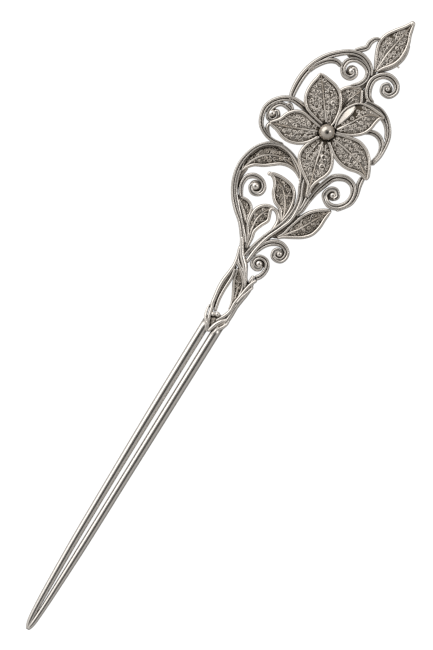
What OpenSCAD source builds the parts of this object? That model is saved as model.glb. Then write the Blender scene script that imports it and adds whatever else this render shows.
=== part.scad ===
// Filigree hairpin: two legs that meet at one tip, below a flat openwork head of wire scrolls,
// leaves and a five-petal flower. It lies on its flat back, with the pin along Y and the tip at -Y.

/* [Legs] */
// Height of each leg's axis above the flat back, as a share of its radius
leg_lift = 0.72; // [0.6:0.02:0.9]

/* [Wires] */
// Height of the large loops and stems above the flat back
loop_h = 1.75; // [1.5:0.05:1.85]
// Height of the scrolls
scroll_h = 1.6; // [1.3:0.05:1.85]
// Height of the thin companion wires
thin_h = 1.3; // [1:0.05:1.6]
// Clear space kept between neighbouring pieces
gap = 0.07; // [0.04:0.01:0.12]

/* [Leaves] */
// Width of the wire round a leaf
rim_w = 0.62; // [0.5:0.02:0.8]
// Height of the wire round a leaf
rim_h = 1.25; // [1:0.05:1.5]
// Thickness of the plate inside a leaf, at its rim
plate_t = 0.6; // [0.4:0.05:0.8]
// Rise of a leaf's plate from its rim to its midrib
plate_rise = 0.2; // [0.1:0.05:0.4]
// Height of the side veins above a leaf's plate
vein_h = 0.2; // [0.1:0.02:0.3]

/* [Flower] */
// Underside of the petals, above the scrollwork
petal_z = 1.95; // [1.9:0.05:2.2]
// Width of the wire round a petal
petal_rim_w = 0.66; // [0.5:0.02:0.8]
// Height of the wire round a petal
petal_rim_h = 1.15; // [0.9:0.05:1.4]
// Radius of the centre ball
ball_r = 1.8; // [1.6:0.05:2]
// Height of the centre ball's middle
ball_z = 3.75; // [3.6:0.05:4]
// Radius of the hidden seat under the petals
seat_r = 3.1; // [2.5:0.1:3.4]

/* [Hidden] */

silver = "#a9a59d";
dark_silver = "#7f7b74";
bright_silver = "#c4c1ba";

// Routes have the columns [x, y, width of the wire there].
left_leg_route = [[0, -0.55, 2], [-0.05, -24, 1.85], [0.03, -40, 1.73], [0.13, -56, 1.67], [0.29, -64, 1.58],
    [0.43, -68, 1.44], [0.56, -72, 1.3], [0.75, -76, 1.15], [0.97, -78.3, 1.1], [1.22, -79.65, 0.8],
    [1.33, -80, 0.3]];
right_leg_route = [[3, -0.55, 2.15], [2.76, -24, 2], [2.56, -40, 1.82], [2.43, -56, 1.75], [2.3, -64, 1.7],
    [2.2, -68, 1.57], [2.1, -72, 1.44], [1.97, -76, 1.35], [1.78, -78.3, 1.25], [1.5, -79.65, 0.9],
    [1.38, -80, 0.3]];
// Line on which the legs meet at the tip
tip_line = [[1.32, -60], [1.32, -76], [1.355, -82]];

teardrop_outer = [[-2.3, 17.8, 0.9], [-3.4, 19.3, 1], [-5.4, 21.8, 1], [-7.6, 23.9, 1], [-9.5, 26, 1],
    [-11.1, 28.8, 1], [-11.95, 32, 1], [-11.8, 35, 1], [-10.8, 37.8, 1], [-9, 39.9, 1], [-6.5, 41, 1],
    [-3.5, 40.7, 1], [-1, 39.5, 0.9], [0.9, 38.1, 0.8]];
teardrop_inner = [[-1.9, 18.5, 0.6], [-3, 20, 0.7], [-5.3, 22.5, 0.7], [-7.5, 24.8, 0.7],
    [-9.5, 27.2, 0.7], [-10.8, 30, 0.65], [-11.1, 31.8, 0.5]];
stem_left = [[-0.5, 15.4, 0.8], [0, 18.3, 0.8], [1, 21.5, 0.75], [2.1, 24, 0.75], [3.1, 26.4, 0.75],
    [3.6, 28.8, 0.75], [3.6, 31.2, 0.75], [3, 33.6, 0.75], [1.8, 36.2, 0.75], [1.6, 38.8, 0.75],
    [1.4, 42.5, 0.8], [1, 46.6, 0.9]];
stem_right = [[0.6, 15, 0.9], [0.85, 18.3, 0.85], [1.7, 22, 0.75], [3, 25, 0.75], [4.1, 27.8, 0.75],
    [4.2, 30.5, 0.75], [3.8, 33, 0.75], [2.7, 35.6, 0.75], [2, 37.4, 0.6]];
stem_fork = [[4.1, 28.9, 0.5], [4.55, 30.6, 0.65], [4.7, 32.4, 0.65], [4.5, 34.2, 0.5]];
stem_scroll_route = [[0.9, 16.8, 0.7], [1.4, 19, 1.2], [2.2, 20.6, 1.35], [3.3, 21.7, 1.4],
    [4.7, 22.3, 1.35], [6, 22.2, 1.3], [7.1, 21.5, 1.2], [7.4, 20.4, 1.15], [7, 19.3, 1.1],
    [6, 18.9, 1], [5, 19.2, 0.9], [4.7, 20.2, 0.85], [5.2, 20.9, 0.8], [5.9, 20.8, 0.6]];
neck_scroll_route = [[4.25, 13.1, 1.2], [4.8, 13.8, 1.15], [5.15, 14.9, 1.1], [5.05, 16.4, 1.1],
    [4.1, 17.5, 1.1], [2.7, 17.5, 1.1], [1.85, 16.6, 1], [2, 15.3, 0.9], [3, 14.85, 0.85],
    [3.85, 15.3, 0.75], [3.7, 16, 0.6]];
scroll_stem = [[4.75, 29.6, 0.5], [5.25, 31.2, 0.7], [5.35, 33.5, 0.95], [5.6, 36, 1.25],
    [6.2, 38.2, 1.45], [7.3, 40.6, 1.4], [8.7, 41.9, 1.5], [10.3, 42.3, 1.5], [12, 41.7, 1.35],
    [13, 40, 1.2], [12.9, 37.7, 1.2], [11.4, 35.8, 1.2], [9.4, 35.4, 1.1], [7.7, 36.7, 1],
    [7.9, 38.5, 0.9], [9.3, 39, 0.9], [10.25, 37.9, 0.85], [9.8, 37, 0.7]];
scroll_post = [[12.9, 44.4, 1.2], [13.1, 42.5, 1.3], [13.85, 40.2, 0.8], [13.7, 38, 0.7],
    [12.6, 36, 0.7], [11.7, 35.1, 0.6]];
loop_scroll_route = [[-7.9, 26.9, 0.7], [-8.6, 27.7, 0.95], [-9.3, 29.3, 1], [-9.1, 31.2, 1],
    [-7.8, 32.4, 1], [-5.9, 32.3, 1], [-4.65, 31, 1], [-4.9, 29.5, 0.95], [-6.3, 28.95, 0.85],
    [-7.3, 29.9, 0.8], [-6.9, 30.6, 0.7]];
left_loop_route = [[-3.6, 50.4, 1.2], [-5.6, 50.9, 1.5], [-7.5, 51.2, 1.45], [-9.5, 51.2, 1.3],
    [-11.6, 50.1, 1.3], [-13.2, 48.1, 1.25], [-13.65, 45.9, 1.15], [-12.7, 43.1, 1.05],
    [-10.7, 41.6, 0.95], [-8.4, 41.25, 0.85], [-6.1, 41.6, 0.8], [-4.6, 42.5, 0.7]];
left_loop_inner = [[-10.9, 44.4, 0.5], [-11.25, 43.3, 0.5], [-10.6, 42.2, 0.5], [-9.4, 41.6, 0.4]];
left_scroll_route = [[-7.9, 48.6, 0.9], [-9.4, 49.1, 1], [-11, 49.05, 1], [-12.05, 48, 1],
    [-12.45, 46.4, 0.95], [-12, 45, 0.9], [-10.8, 44.9, 0.8], [-10.2, 46.1, 0.75], [-10.9, 47.1, 0.7],
    [-11.5, 46.8, 0.5]];
left_twig = [[-10.1, 48.9, 0.6], [-9.4, 50.1, 0.6], [-8.1, 49.2, 0.5]];
top_arc_route = [[-9.7, 50.9, 1], [-10.15, 52.6, 1.4], [-10.35, 55, 1.6], [-10.2, 57.5, 1.6],
    [-9.5, 60.3, 1.5], [-8.2, 63.1, 1.4], [-6.3, 65.3, 1.35], [-3.9, 67, 1.3], [-1.4, 67.45, 1.3],
    [0.7, 66.85, 1.2], [2.1, 65.7, 1], [2.65, 64.7, 0.8]];
arc_branch = [[-9.6, 58.4, 0.8], [-8.85, 60.5, 1.2], [-7.3, 62.5, 1.2], [-5.6, 63.45, 1.2],
    [-4.1, 63.2, 1]];
crown_left_route = [[-0.9, 59.9, 0.8], [0.4, 60.75, 1.05], [1.6, 61.9, 1.1], [2.15, 63.5, 1.1],
    [1.6, 65.2, 1.1], [0, 66.05, 1.1], [-2, 66, 1.1], [-3.4, 64.8, 1.1], [-3.5, 63, 1.05],
    [-2.4, 61.8, 1], [-1, 61.9, 0.9], [-0.4, 63.1, 0.85], [-1.1, 64.1, 0.8], [-1.7, 63.8, 0.6]];
crown_right_route = [[6.2, 59.6, 1.1], [4.6, 60.4, 1.5], [3.65, 62.3, 1.6], [3.6, 64.3, 1.5],
    [4.8, 66.1, 1.3], [6.6, 66.8, 1.25], [8.5, 66.1, 1.2], [9.3, 64.5, 1.1], [8.5, 62.95, 1.05],
    [6.9, 62.9, 0.95], [6.3, 64.1, 0.85], [7, 64.9, 0.8], [7.6, 64.5, 0.6]];
twig_route = [[-3.1, 67.7, 1], [-2.2, 68.6, 1.2], [-1.3, 69.6, 1.2], [-1.25, 70.9, 1.15],
    [-0.7, 72.1, 1], [0.15, 72.6, 0.7]];
ring_outer = [[4.7, 59.2, 0.8], [6.6, 59.4, 0.9], [8.6, 59.3, 1], [10.6, 58.35, 1],
    [12.2, 56.75, 1], [13.2, 54.9, 1], [13.7, 52.6, 1], [13.7, 50.2, 1], [13.1, 48, 0.9]];
ring_inner = [[9.3, 57.9, 0.6], [10.8, 57.2, 0.7], [12, 56, 0.7], [12.9, 54.3, 0.6]];
ring_arc = [[8, 53.2, 0.9], [9.3, 54, 1.2], [10.9, 54.1, 1.3], [12.3, 53.3, 1.2], [13.1, 51.9, 1],
    [13.3, 50.2, 0.9], [12.9, 48.4, 0.8]];

neck_outer_left = [[-0.9, 2.6, 0.9], [-1.3, 4.2, 1], [-1.7, 6, 1], [-1.85, 8, 1], [-1.7, 10, 1],
    [-1.55, 12, 1], [-1.6, 14, 1], [-2.1, 16, 0.9], [-2.7, 17.9, 0.8]];
neck_inner_left = [[0.2, 2.8, 0.7], [-0.15, 4.6, 0.8], [-0.35, 6.6, 0.85], [-0.4, 8.6, 0.85],
    [-0.6, 10.6, 0.8], [-0.95, 12.2, 0.6]];
neck_cross_high = [[-2, 17.1, 0.9], [-1.1, 15.7, 1.3], [0.4, 14.3, 1.3], [1.9, 12.8, 1.2],
    [3.3, 11.2, 0.9]];
neck_cross_low = [[-1.9, 14.6, 0.7], [-0.8, 13.9, 0.9], [0.6, 12.9, 0.9], [1.9, 11.9, 0.8],
    [3.2, 10.4, 0.6]];
neck_shaft = [[3.9, 2.4, 0.8], [3.95, 5, 0.8], [3.9, 8, 0.8], [4.1, 10.4, 0.8], [4.3, 12.9, 0.7]];
neck_nib = [[3.3, 9.4, 0.4], [3.6, 11.2, 0.7], [3.6, 12.7, 0.9]];
neck_sill = [[-1.5, 2.75, 0.9], [1.2, 2.75, 0.6], [4.1, 2.75, 0.9]];

// A leaf has three routes from its base to its tip: its left edge, its midrib and its right edge.
crown_leaf_edges = [
    [[2.7, 66.2], [1.9, 68], [1, 70], [0.45, 72], [0.75, 74], [1.95, 76], [3.5, 78], [4.6, 79.85]],
    [[3.05, 65.7], [3.15, 68], [3.3, 70.5], [3.65, 73], [4.2, 76], [4.7, 79.7]],
    [[3.35, 66.2], [4.2, 66.9], [5.9, 68.9], [6.75, 71], [6.85, 73], [6.3, 75], [5.5, 77], [4.9, 79.8]]];
back_leaf_edges = [
    [[0.2, 54.1], [-1.1, 56.5], [-1.35, 58.3], [-0.5, 59.75], [1.1, 60.8], [2.45, 61.1]],
    [[0.85, 54], [1.3, 57.4], [2.1, 59.5], [2.6, 61]],
    [[1.4, 54], [3.4, 56.2], [4.1, 58.1], [3.5, 59.6], [2.75, 61]]];
large_leaf_edges = [
    [[2.45, 26.6], [1.9, 27.4], [0.8, 28.9], [-1, 29.75], [-2.3, 31.2], [-2.95, 32.9], [-4, 34.1],
        [-5.1, 34.5]],
    [[2.5, 26.7], [2.1, 28.7], [0.8, 31], [-0.5, 32.6], [-2.2, 33.8], [-5.1, 34.65]],
    [[2.6, 26.8], [2.85, 29], [2.75, 31], [2, 33.2], [0.6, 34.6], [-1.2, 35.1], [-3.2, 35.15],
        [-5.1, 34.8]]];
small_leaf_edges = [
    [[-1.3, 17.5], [-2.2, 20], [-3.4, 22], [-3.9, 24.2], [-3.85, 26], [-3.1, 27.4], [-1.9, 28.2],
        [-0.5, 28.5]],
    [[-1.1, 17.6], [-2.15, 21.5], [-2.4, 24.5], [-1.6, 27], [-0.6, 28.4]],
    [[-0.85, 17.5], [-1.1, 20], [-1.45, 21.8], [-0.8, 23.8], [-0.1, 25.3], [-0.45, 26.6],
        [-0.8, 27.6], [-0.5, 28.3]]];
small_leaf_curl = [[-0.6, 28.3, 0.7], [0.4, 28.1, 0.85], [1.3, 27.4, 0.9], [1.85, 26.4, 0.9],
    [1.95, 25.2, 0.85], [1.8, 23.9, 0.6]];
right_leaf_edges = [
    [[3.5, 23.3], [4.3, 24.8], [4.65, 26.4], [5.2, 28.2], [5.8, 30], [6.9, 31.8], [8.5, 33.3],
        [10.5, 34.5]],
    [[3.6, 23.3], [5.2, 25.2], [6.8, 27.4], [7.9, 29.4], [9, 31.5], [10.6, 34.4]],
    [[3.8, 23], [4.8, 24], [6.6, 25], [8.5, 26.2], [9.9, 27.8], [10.5, 30], [10.55, 32],
        [10.75, 34.4]]];
crescent_leaf_edges = [
    [[-11, 31.9], [-11, 34.5], [-10.1, 37.3], [-8.6, 39.2], [-6.3, 40.1], [-3.6, 39.9],
        [-1.2, 38.9], [0.9, 37.3]],
    [[-10.9, 31.9], [-10.2, 34.7], [-8.7, 37], [-6.5, 38.5], [-4, 39], [-1.4, 38.6], [0.9, 37.1]],
    [[-10.85, 31.8], [-10.3, 33], [-9.2, 34.3], [-7.3, 35.3], [-5.7, 36.5], [-4.2, 37.6],
        [-2.3, 38.1], [-0.4, 37.8], [0.9, 37]]];
bud_leaf_edges = [
    [[-4.3, 22.6], [-5.5, 23.9], [-6.8, 25.1], [-8.1, 26]],
    [[-4.1, 22.4], [-4.9, 23.6], [-6.2, 24.8], [-8, 26.1]],
    [[-3.9, 22.3], [-4.35, 23.6], [-4.7, 25], [-5.6, 26.2], [-6.8, 26.6], [-8, 26.3]]];
neck_leaf_edges = [
    [[2.75, 4], [2.4, 6], [1.5, 7.9], [0.6, 9.6], [0.05, 11], [-0.3, 12.8]],
    [[2.8, 4.1], [2.4, 7.5], [1.7, 9.6], [0.9, 11.3], [-0.2, 12.9]],
    [[2.9, 4], [3.05, 6.3], [3.05, 8.3], [2.7, 9.9], [1.7, 11.4], [0, 12.9]]];
petal_1_edges = [
    [[-0.9, 49.9], [-3.2, 50.35], [-5.4, 51.05], [-6.9, 52.5], [-7.55, 54.4], [-7.45, 56.5],
        [-7.2, 58.2], [-7.15, 59.3]],
    [[-0.3, 50.6], [-1.6, 52.3], [-2.8, 53.8], [-3.9, 55.3], [-5.2, 57], [-7, 59.3]],
    [[0.9, 50.5], [1.15, 51.8], [0.85, 54.2], [0, 56.2], [-1.2, 57.75], [-3, 58.75], [-5, 59.1],
        [-6.9, 59.35]]];
petal_2_edges = [
    [[1.9, 50.4], [1.65, 52], [1.55, 53.6], [1.8, 55.2], [2.6, 56.7], [3.8, 57.9], [6, 58.5],
        [8.2, 58.5], [10.1, 58.3]],
    [[2.4, 50.3], [4.1, 53], [5.3, 55], [6.8, 56.9], [10.1, 58.15]],
    [[2.6, 49.9], [4, 50.2], [6, 51.2], [7.8, 52.7], [8.7, 54.5], [8.95, 56.2], [9.3, 57.5],
        [10.1, 58.1]]];
petal_3_edges = [
    [[2.6, 49.4], [4, 49.95], [6, 50.5], [8.2, 50.75], [10.2, 50.1], [11.7, 48.9], [12.9, 47.2],
        [13.7, 45.5], [13.95, 44.5]],
    [[2.7, 48.3], [6, 47.85], [9, 47.2], [11, 46.5], [13.85, 44.5]],
    [[2.4, 47.3], [3.2, 46.6], [5, 45.3], [7, 44.5], [9, 44.35], [11, 44.8], [12.6, 44.8],
        [13.8, 44.35]]];
petal_4_edges = [
    [[2.2, 47.2], [3.5, 46.2], [5.05, 44.3], [5.85, 42.2], [5.6, 40.4], [4.8, 38.7], [4.3, 36.8],
        [4.6, 34.3]],
    [[1.1, 46.7], [1.85, 44], [2.3, 42], [2.9, 40], [3.5, 38], [4.45, 34.5]],
    [[0, 47.2], [-0.7, 46], [-1.6, 44], [-1.8, 42], [-1.1, 40.3], [0.3, 39], [2, 37.8],
        [3.5, 36.6], [4.3, 34.3]]];
petal_5_edges = [
    [[-0.3, 47.1], [-1.4, 45.3], [-3, 43.9], [-5, 43.05], [-7, 43], [-9, 43.6], [-11.1, 43.95]],
    [[-0.9, 48], [-3, 47.1], [-5, 46.3], [-7, 45.5], [-11.1, 44.05]],
    [[-0.9, 49.1], [-2.4, 49.3], [-4, 49.6], [-5.8, 49.85], [-7.6, 49.2], [-8.8, 47.8],
        [-9.6, 45.9], [-11.1, 44.2]]];

// Balls that end the scrolls have the columns [x, y, radius].
stem_scroll_ball = [5.9, 20.3, 0.72];
neck_scroll_ball = [3.2, 16.1, 0.8];
right_scroll_ball = [9.3, 37.6, 0.75];
loop_scroll_ball = [-6.5, 30.45, 0.88];
left_scroll_ball = [-11.55, 46.3, 0.7];
crown_left_ball = [-1.45, 63.4, 0.8];
crown_right_ball = [7.4, 64.1, 0.65];

// The binding's strands have the columns [x, y, width, height of the underside].
binding_strands = [
    [[-1.15, 2.7, 0.7, 0], [-0.6, 2, 0.75, 0.9], [0.2, 1.2, 0.8, 1.4], [1, 0.5, 0.7, 0.9]],
    [[-1.35, 1.6, 0.7, 0], [-0.7, 0.8, 0.75, 1.2], [0.1, -0.1, 0.8, 1.7], [0.9, -1, 0.7, 1]],
    [[-1.3, 0.4, 0.65, 0], [-0.7, -0.3, 0.75, 1.2], [0.1, -1, 0.8, 1.7], [1, -2.1, 0.6, 0.8]],
    [[3.9, 2.7, 0.7, 0.2], [3, 2.3, 0.8, 1.2], [2.3, 1.4, 0.8, 1.2], [1.7, 0.6, 0.7, 0.9]],
    [[4.25, 1.6, 0.7, 0], [3.6, 1.2, 0.8, 1.2], [2.8, 0.3, 0.85, 1.7], [1.8, -0.9, 0.7, 1]],
    [[4.15, 0.5, 0.65, 0], [3.6, 0.1, 0.75, 1.2], [2.8, -0.8, 0.85, 1.7], [1.7, -2.2, 0.6, 0.8]]];
binding_strand_h = 0.9;
binding_left = -1.1;
binding_right = 4.1;
binding_low = -0.45;
binding_end = 2.3;
binding_core_h = 1.5;
binding_balls = [[1.1, 1.65, 0.62], [0.3, 1.15, 0.42], [1.3, -0.3, 0.34]];
binding_ball_z = 2.1;
binding_top = 2.6;

// Cross-sections of a wire have the columns [share of its width, share of its height].
round_wire = [[-0.5, 0], [-0.5, 0.55], [-0.2, 1], [0.2, 1], [0.5, 0.55], [0.5, 0]];
thin_wire = [[-0.5, 0], [-0.5, 0.5], [0, 1], [0.5, 0.5], [0.5, 0]];
square_wire = [[-0.5, 0], [-0.5, 1], [0.5, 1], [0.5, 0]];

// Middle of the flower in plan, and the radius of the collar under its ball
flower = [0.85, 48.85];
collar_r = 1;

ball_sides = 10;
// Height of a ball's middle above the back, as a share of its radius
ball_lift = 0.9;
leaf_steps = 12;
rim_steps = 8;
// How far a leaf's plate is set in from the back of its rim, and its midrib from its front
plate_inset = 0.08;
// Share of a leaf's length that the plate leaves at each end
plate_end = 0.012;
midrib_inset = 0.2;
midrib_share = 0.7;
vein_slant = 0.07;
// Width over both of the shaft's strands, and the core between them
shaft_w = 1.7;
shaft_turns = 1.5;
shaft_steps = 10;
shaft_spread = 0.33;
shaft_strand_h = 1.2;
shaft_core_w = 1;
shaft_core_h = 0.8;
// Height of what is cut away to clear a neighbour, and how far below the back it starts
clear_h = 20;
clear_low = 1;
leg_sides = 10;
leg_span = 6;

// Smooth curve through a row of knots, of any number of columns
function knot(rows, i) = rows[max(0, min(len(rows) - 1, i))];
function bend(a, b, c, d, t) =
    0.5 * (2 * b + (c - a) * t + (2 * a - 5 * b + 4 * c - d) * t * t + (3 * b - a - 3 * c + d) * t * t * t);
function along(rows, share) =
    let (s = share * (len(rows) - 1), i = min(floor(s), len(rows) - 2))
    bend(knot(rows, i - 1), knot(rows, i), knot(rows, i + 1), knot(rows, i + 2), s - i);
function smooth(rows, count) = [for (k = [0 : count]) along(rows, k / count)];

// Direction to the right of a line at its point i, in plan
function across(line, i) =
    let (step = knot(line, i + 1) - knot(line, i - 1), size = norm([step.x, step.y]))
    [step.y / size, -step.x / size];
function set_width(rows, w) = [for (r = rows) [r.x, r.y, w]];

// The same route wider and longer by some extra all round
function toward(a, b, step) = let (d = [b.x - a.x, b.y - a.y]) d * step / norm(d);
function grown(rows, extra) = let (last = len(rows) - 1)
    [for (i = [0 : last]) let (r = rows[i],
        push = i == 0 ? toward(rows[1], r, extra) : i == last ? toward(rows[last - 1], r, extra) : [0, 0])
        [r.x + push.x, r.y + push.y, r[2] + 2 * extra]];
function reversed(rows) = [for (i = [len(rows) - 1 : -1 : 0]) rows[i]];

// Two faces for each side of each step, and a cap at each end
function skin(rings, sides) = concat(
    [[for (j = [0 : sides - 1]) j]],
    [[for (j = [sides - 1 : -1 : 0]) (rings - 1) * sides + j]],
    [for (i = [0 : rings - 2], j = [0 : sides - 1], half = [0, 1])
        let (a = i * sides, b = a + sides, k = (j + 1) % sides)
        half == 0 ? [b + j, b + k, a + k] : [b + j, a + k, a + j]]);

// A wire along a smooth line, whose fourth column lifts its underside
module sweep(line, high, low, section) {
    points = [for (i = [0 : len(line) - 1]) for (s = section)
        let (side = across(line, i), r = line[i], lift = len(r) > 3 ? r[3] : 0)
        [r.x + side.x * s.x * r[2], r.y + side.y * s.x * r[2], low + lift + s.y * high]];
    polyhedron(points, skin(len(line), len(section)), convexity = 6);
}

module wire(route, high, low = 0, steps = 2, section = round_wire) {
    sweep(smooth(route, (len(route) - 1) * steps), high, low, section);
}

// Ball at a scroll's end, cut flat at the back
module scroll_ball(place) {
    r = place[2];
    intersection() {
        translate([place.x, place.y, r * ball_lift]) sphere(r, $fn = ball_sides);
        translate([place.x - 2 * r, place.y - 2 * r, 0]) cube(4 * r);
    }
}

// Space that a neighbour of a wire keeps out of, cut right through
module clear_of(route, steps = 2) {
    wire(grown(route, gap), clear_h, -clear_low, steps, square_wire);
}

// Plan of a leaf out to the outside of its rim
module leaf_plan(edges, w, extra) {
    offset(delta = w / 2 + extra) polygon(concat(smooth(edges[0], 12), reversed(smooth(edges[2], 12))));
}

module clear_of_leaf(edges, w = rim_w) {
    translate([0, 0, -clear_low]) linear_extrude(clear_h) leaf_plan(edges, w, gap);
}

// Place on a leaf's edge beside a share of its midrib, further on towards the tip
function ahead(edge, share) = along(edge, share + vein_slant * sin(180 * share));

// Plate of a leaf, highest along its midrib, whose side veins are ridges that slant to the tip
module leaf_plate(edges, low) {
    points = [for (i = [0 : leaf_steps]) each let (share = plate_end + (1 - 2 * plate_end) * i / leaf_steps,
        top = low + plate_t + (i % 2) * vein_h, a = ahead(edges[0], share),
        m = along(edges[1], share), b = ahead(edges[2], share))
        [[a.x, a.y, low], [a.x, a.y, top], [m.x, m.y, top + plate_rise], [b.x, b.y, top],
            [b.x, b.y, low]]];
    polyhedron(points, skin(leaf_steps + 1, 5), convexity = 6);
}

// A leaf of one plate with its veins, its midrib and the wire round it
module leaf(edges, w = rim_w, high = rim_h, low = 0) {
    leaf_plate(edges, low + plate_inset);
    wire(set_width(edges[1], w * midrib_share), high - midrib_inset, low + 2 * plate_inset, 1, square_wire);
    for (edge = [0, 2]) sweep(smooth(set_width(edges[edge], w), rim_steps), high, low, thin_wire);
}

// One soldered piece, brought to its height
module soldered(high) {
    resize([0, 0, high]) union() children();
}

// Half-round section of a leg, in shares of its radius, with its flat at the back
function leg_section() = let (low = asin(leg_lift))
    [for (k = [0 : leg_sides]) let (turn = 180 + low - k * (180 + 2 * low) / leg_sides)
        [cos(turn) / 2, (sin(turn) + leg_lift) / 2]];

module leg(route) {
    line = smooth(route, len(route) - 1);
    section = leg_section();
    points = [for (i = [0 : len(line) - 1]) for (s = section)
        let (side = across(line, i), r = line[i])
        [r.x + side.x * s.x * r[2], r.y + side.y * s.x * r[2], s.y * r[2]]];
    polyhedron(points, skin(len(line), len(section)), convexity = 6);
}

// One side of the line on which the legs meet, out to well past the other leg
module beyond_tip_line(way) {
    far = way * leg_span;
    translate([0, 0, -clear_low]) linear_extrude(clear_h)
        polygon(concat([for (p = tip_line) [p.x - way * gap / 2, p.y]],
            [[tip_line[2].x + far, tip_line[2].y], [tip_line[0].x + far, tip_line[0].y]]));
}

module left_leg() {
    color(bright_silver) soldered((1 + leg_lift) * left_leg_route[0][2] / 2) difference() {
        leg(left_leg_route);
        beyond_tip_line(1);
    }
}

module right_leg() {
    color(bright_silver) soldered((1 + leg_lift) * right_leg_route[0][2] / 2) difference() {
        leg(right_leg_route);
        beyond_tip_line(-1);
    }
}

// Room for the legs inside the binding, with the gap all round
module leg_room() {
    for (route = [left_leg_route, right_leg_route]) {
        start = route[0];
        translate([start.x, start.y + gap, start[2] / 2 * leg_lift])
            rotate([90, 0, 0])
            cylinder(clear_h, r = start[2] / 2 + gap, $fn = 16);
        translate([start.x - start[2] / 2 - gap, start.y - clear_h + gap, -clear_low])
            cube([start[2] + 2 * gap, clear_h, clear_low + start[2] / 2 * leg_lift]);
    }
}

module binding() {
    color(silver) soldered(binding_top) difference() {
        union() {
            for (strand = binding_strands) wire(strand, binding_strand_h, 0, 2, thin_wire);
            translate([binding_left, binding_low, 0])
                cube([binding_right - binding_left, binding_end - binding_low, binding_core_h]);
            for (b = binding_balls)
                translate([b.x, b.y, 0]) cylinder(binding_ball_z - b[2] / 2, r = b[2] * 0.8, $fn = 8);
            for (b = binding_balls)
                translate([b.x, b.y, binding_ball_z - b[2]]) sphere(b[2], $fn = ball_sides);
        }
        leg_room();
        translate([-clear_h / 2, binding_end, -clear_low]) cube(clear_h);
    }
}

// One of the shaft's two strands, which wind round each other
function shaft_strand(phase) = [for (k = [0 : shaft_steps])
    let (p = along(neck_shaft, k / shaft_steps), turn = 360 * shaft_turns * k / shaft_steps + phase)
    [p.x + shaft_spread * cos(turn), p.y, p[2], 0.25 + 0.25 * sin(turn)]];

module neck_plan() {
    wire(neck_outer_left, loop_h);
    wire(neck_inner_left, scroll_h, 0, 1);
    wire(neck_cross_high, loop_h);
    wire(neck_cross_low, scroll_h, 0, 1);
    for (phase = [0, 180]) sweep(shaft_strand(phase), shaft_strand_h, 0, thin_wire);
    wire(set_width(neck_shaft, shaft_core_w), shaft_core_h, 0, 1, square_wire);
    wire(neck_nib, scroll_h);
    wire(neck_sill, shaft_core_h, 0, 1, square_wire);
}

module neck_wires() {
    color(silver) soldered(loop_h) difference() {
        neck_plan();
        translate([-clear_h / 2, binding_end + gap - clear_h, -clear_low]) cube(clear_h);
    }
}

module neck_leaf() {
    color(dark_silver) soldered(rim_h) difference() {
        leaf(neck_leaf_edges);
        clear_of(neck_inner_left);
        clear_of(neck_cross_low);
        clear_of(neck_cross_high);
        clear_of(neck_nib);
        clear_of(set_width(neck_shaft, shaft_w), 1);
    }
}

module neck_scroll() {
    color(silver) soldered(scroll_h) difference() {
        union() {
            wire(neck_scroll_route, scroll_h);
            scroll_ball(neck_scroll_ball);
        }
        clear_of(set_width(neck_shaft, shaft_w), 1);
        clear_of(neck_nib);
    }
}

module main_stem() {
    color(silver) soldered(loop_h) difference() {
        union() {
            wire(stem_left, loop_h);
            wire(stem_right, loop_h);
            wire(stem_fork, scroll_h);
        }
        clear_of(neck_cross_high);
        clear_of(neck_outer_left);
        seat_room();
    }
}

module stem_scroll() {
    color(silver) soldered(scroll_h) difference() {
        union() {
            wire(stem_scroll_route, scroll_h);
            scroll_ball(stem_scroll_ball);
        }
        clear_of(stem_left);
        clear_of(stem_right);
        clear_of(neck_cross_high);
        clear_of(neck_scroll_route);
    }
}

module right_leaf() {
    color(dark_silver) soldered(rim_h) difference() {
        leaf(right_leaf_edges);
        clear_of(stem_right);
        clear_of(stem_scroll_route);
        clear_of(scroll_stem);
        clear_of(scroll_post);
    }
}

module right_scroll() {
    color(silver) soldered(loop_h) difference() {
        union() {
            wire(scroll_stem, loop_h);
            wire(scroll_post, scroll_h);
            scroll_ball(right_scroll_ball);
        }
        clear_of(stem_right);
        clear_of(stem_fork);
    }
}

module teardrop_loop() {
    color(silver) soldered(loop_h) difference() {
        union() {
            wire(teardrop_outer, loop_h);
            wire(teardrop_inner, thin_h, 0, 1);
        }
        clear_of(neck_outer_left);
        clear_of(neck_cross_high);
        clear_of(stem_left);
    }
}

module crescent_leaf() {
    color(dark_silver) soldered(rim_h) difference() {
        leaf(crescent_leaf_edges);
        clear_of(teardrop_outer);
        clear_of(teardrop_inner);
        clear_of(stem_left);
        clear_of(stem_right);
    }
}

module loop_scroll() {
    color(silver) soldered(scroll_h) difference() {
        union() {
            wire(loop_scroll_route, scroll_h);
            scroll_ball(loop_scroll_ball);
        }
        clear_of(teardrop_inner);
    }
}

module bud_leaf() {
    color(dark_silver) soldered(rim_h) difference() {
        leaf(bud_leaf_edges);
        clear_of(teardrop_inner);
        clear_of(loop_scroll_route);
        clear_of_leaf(small_leaf_edges);
    }
}

module small_leaf() {
    color(dark_silver) soldered(rim_h) difference() {
        union() {
            leaf(small_leaf_edges);
            wire(small_leaf_curl, rim_h);
        }
        clear_of(neck_cross_high);
        clear_of(neck_outer_left);
        clear_of(stem_left);
        clear_of(teardrop_inner);
    }
}

module large_leaf() {
    color(dark_silver) soldered(rim_h) difference() {
        leaf(large_leaf_edges);
        clear_of(stem_left);
        clear_of(small_leaf_curl);
    }
}

module left_loop() {
    color(silver) soldered(loop_h) difference() {
        union() {
            wire(left_loop_route, loop_h);
            wire(left_loop_inner, thin_h);
        }
        clear_of(teardrop_outer);
    }
}

module left_scroll() {
    color(silver) soldered(scroll_h) difference() {
        union() {
            wire(left_scroll_route, scroll_h);
            wire(left_twig, thin_h);
            scroll_ball(left_scroll_ball);
        }
        clear_of(left_loop_route);
        clear_of(left_loop_inner);
    }
}

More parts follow.
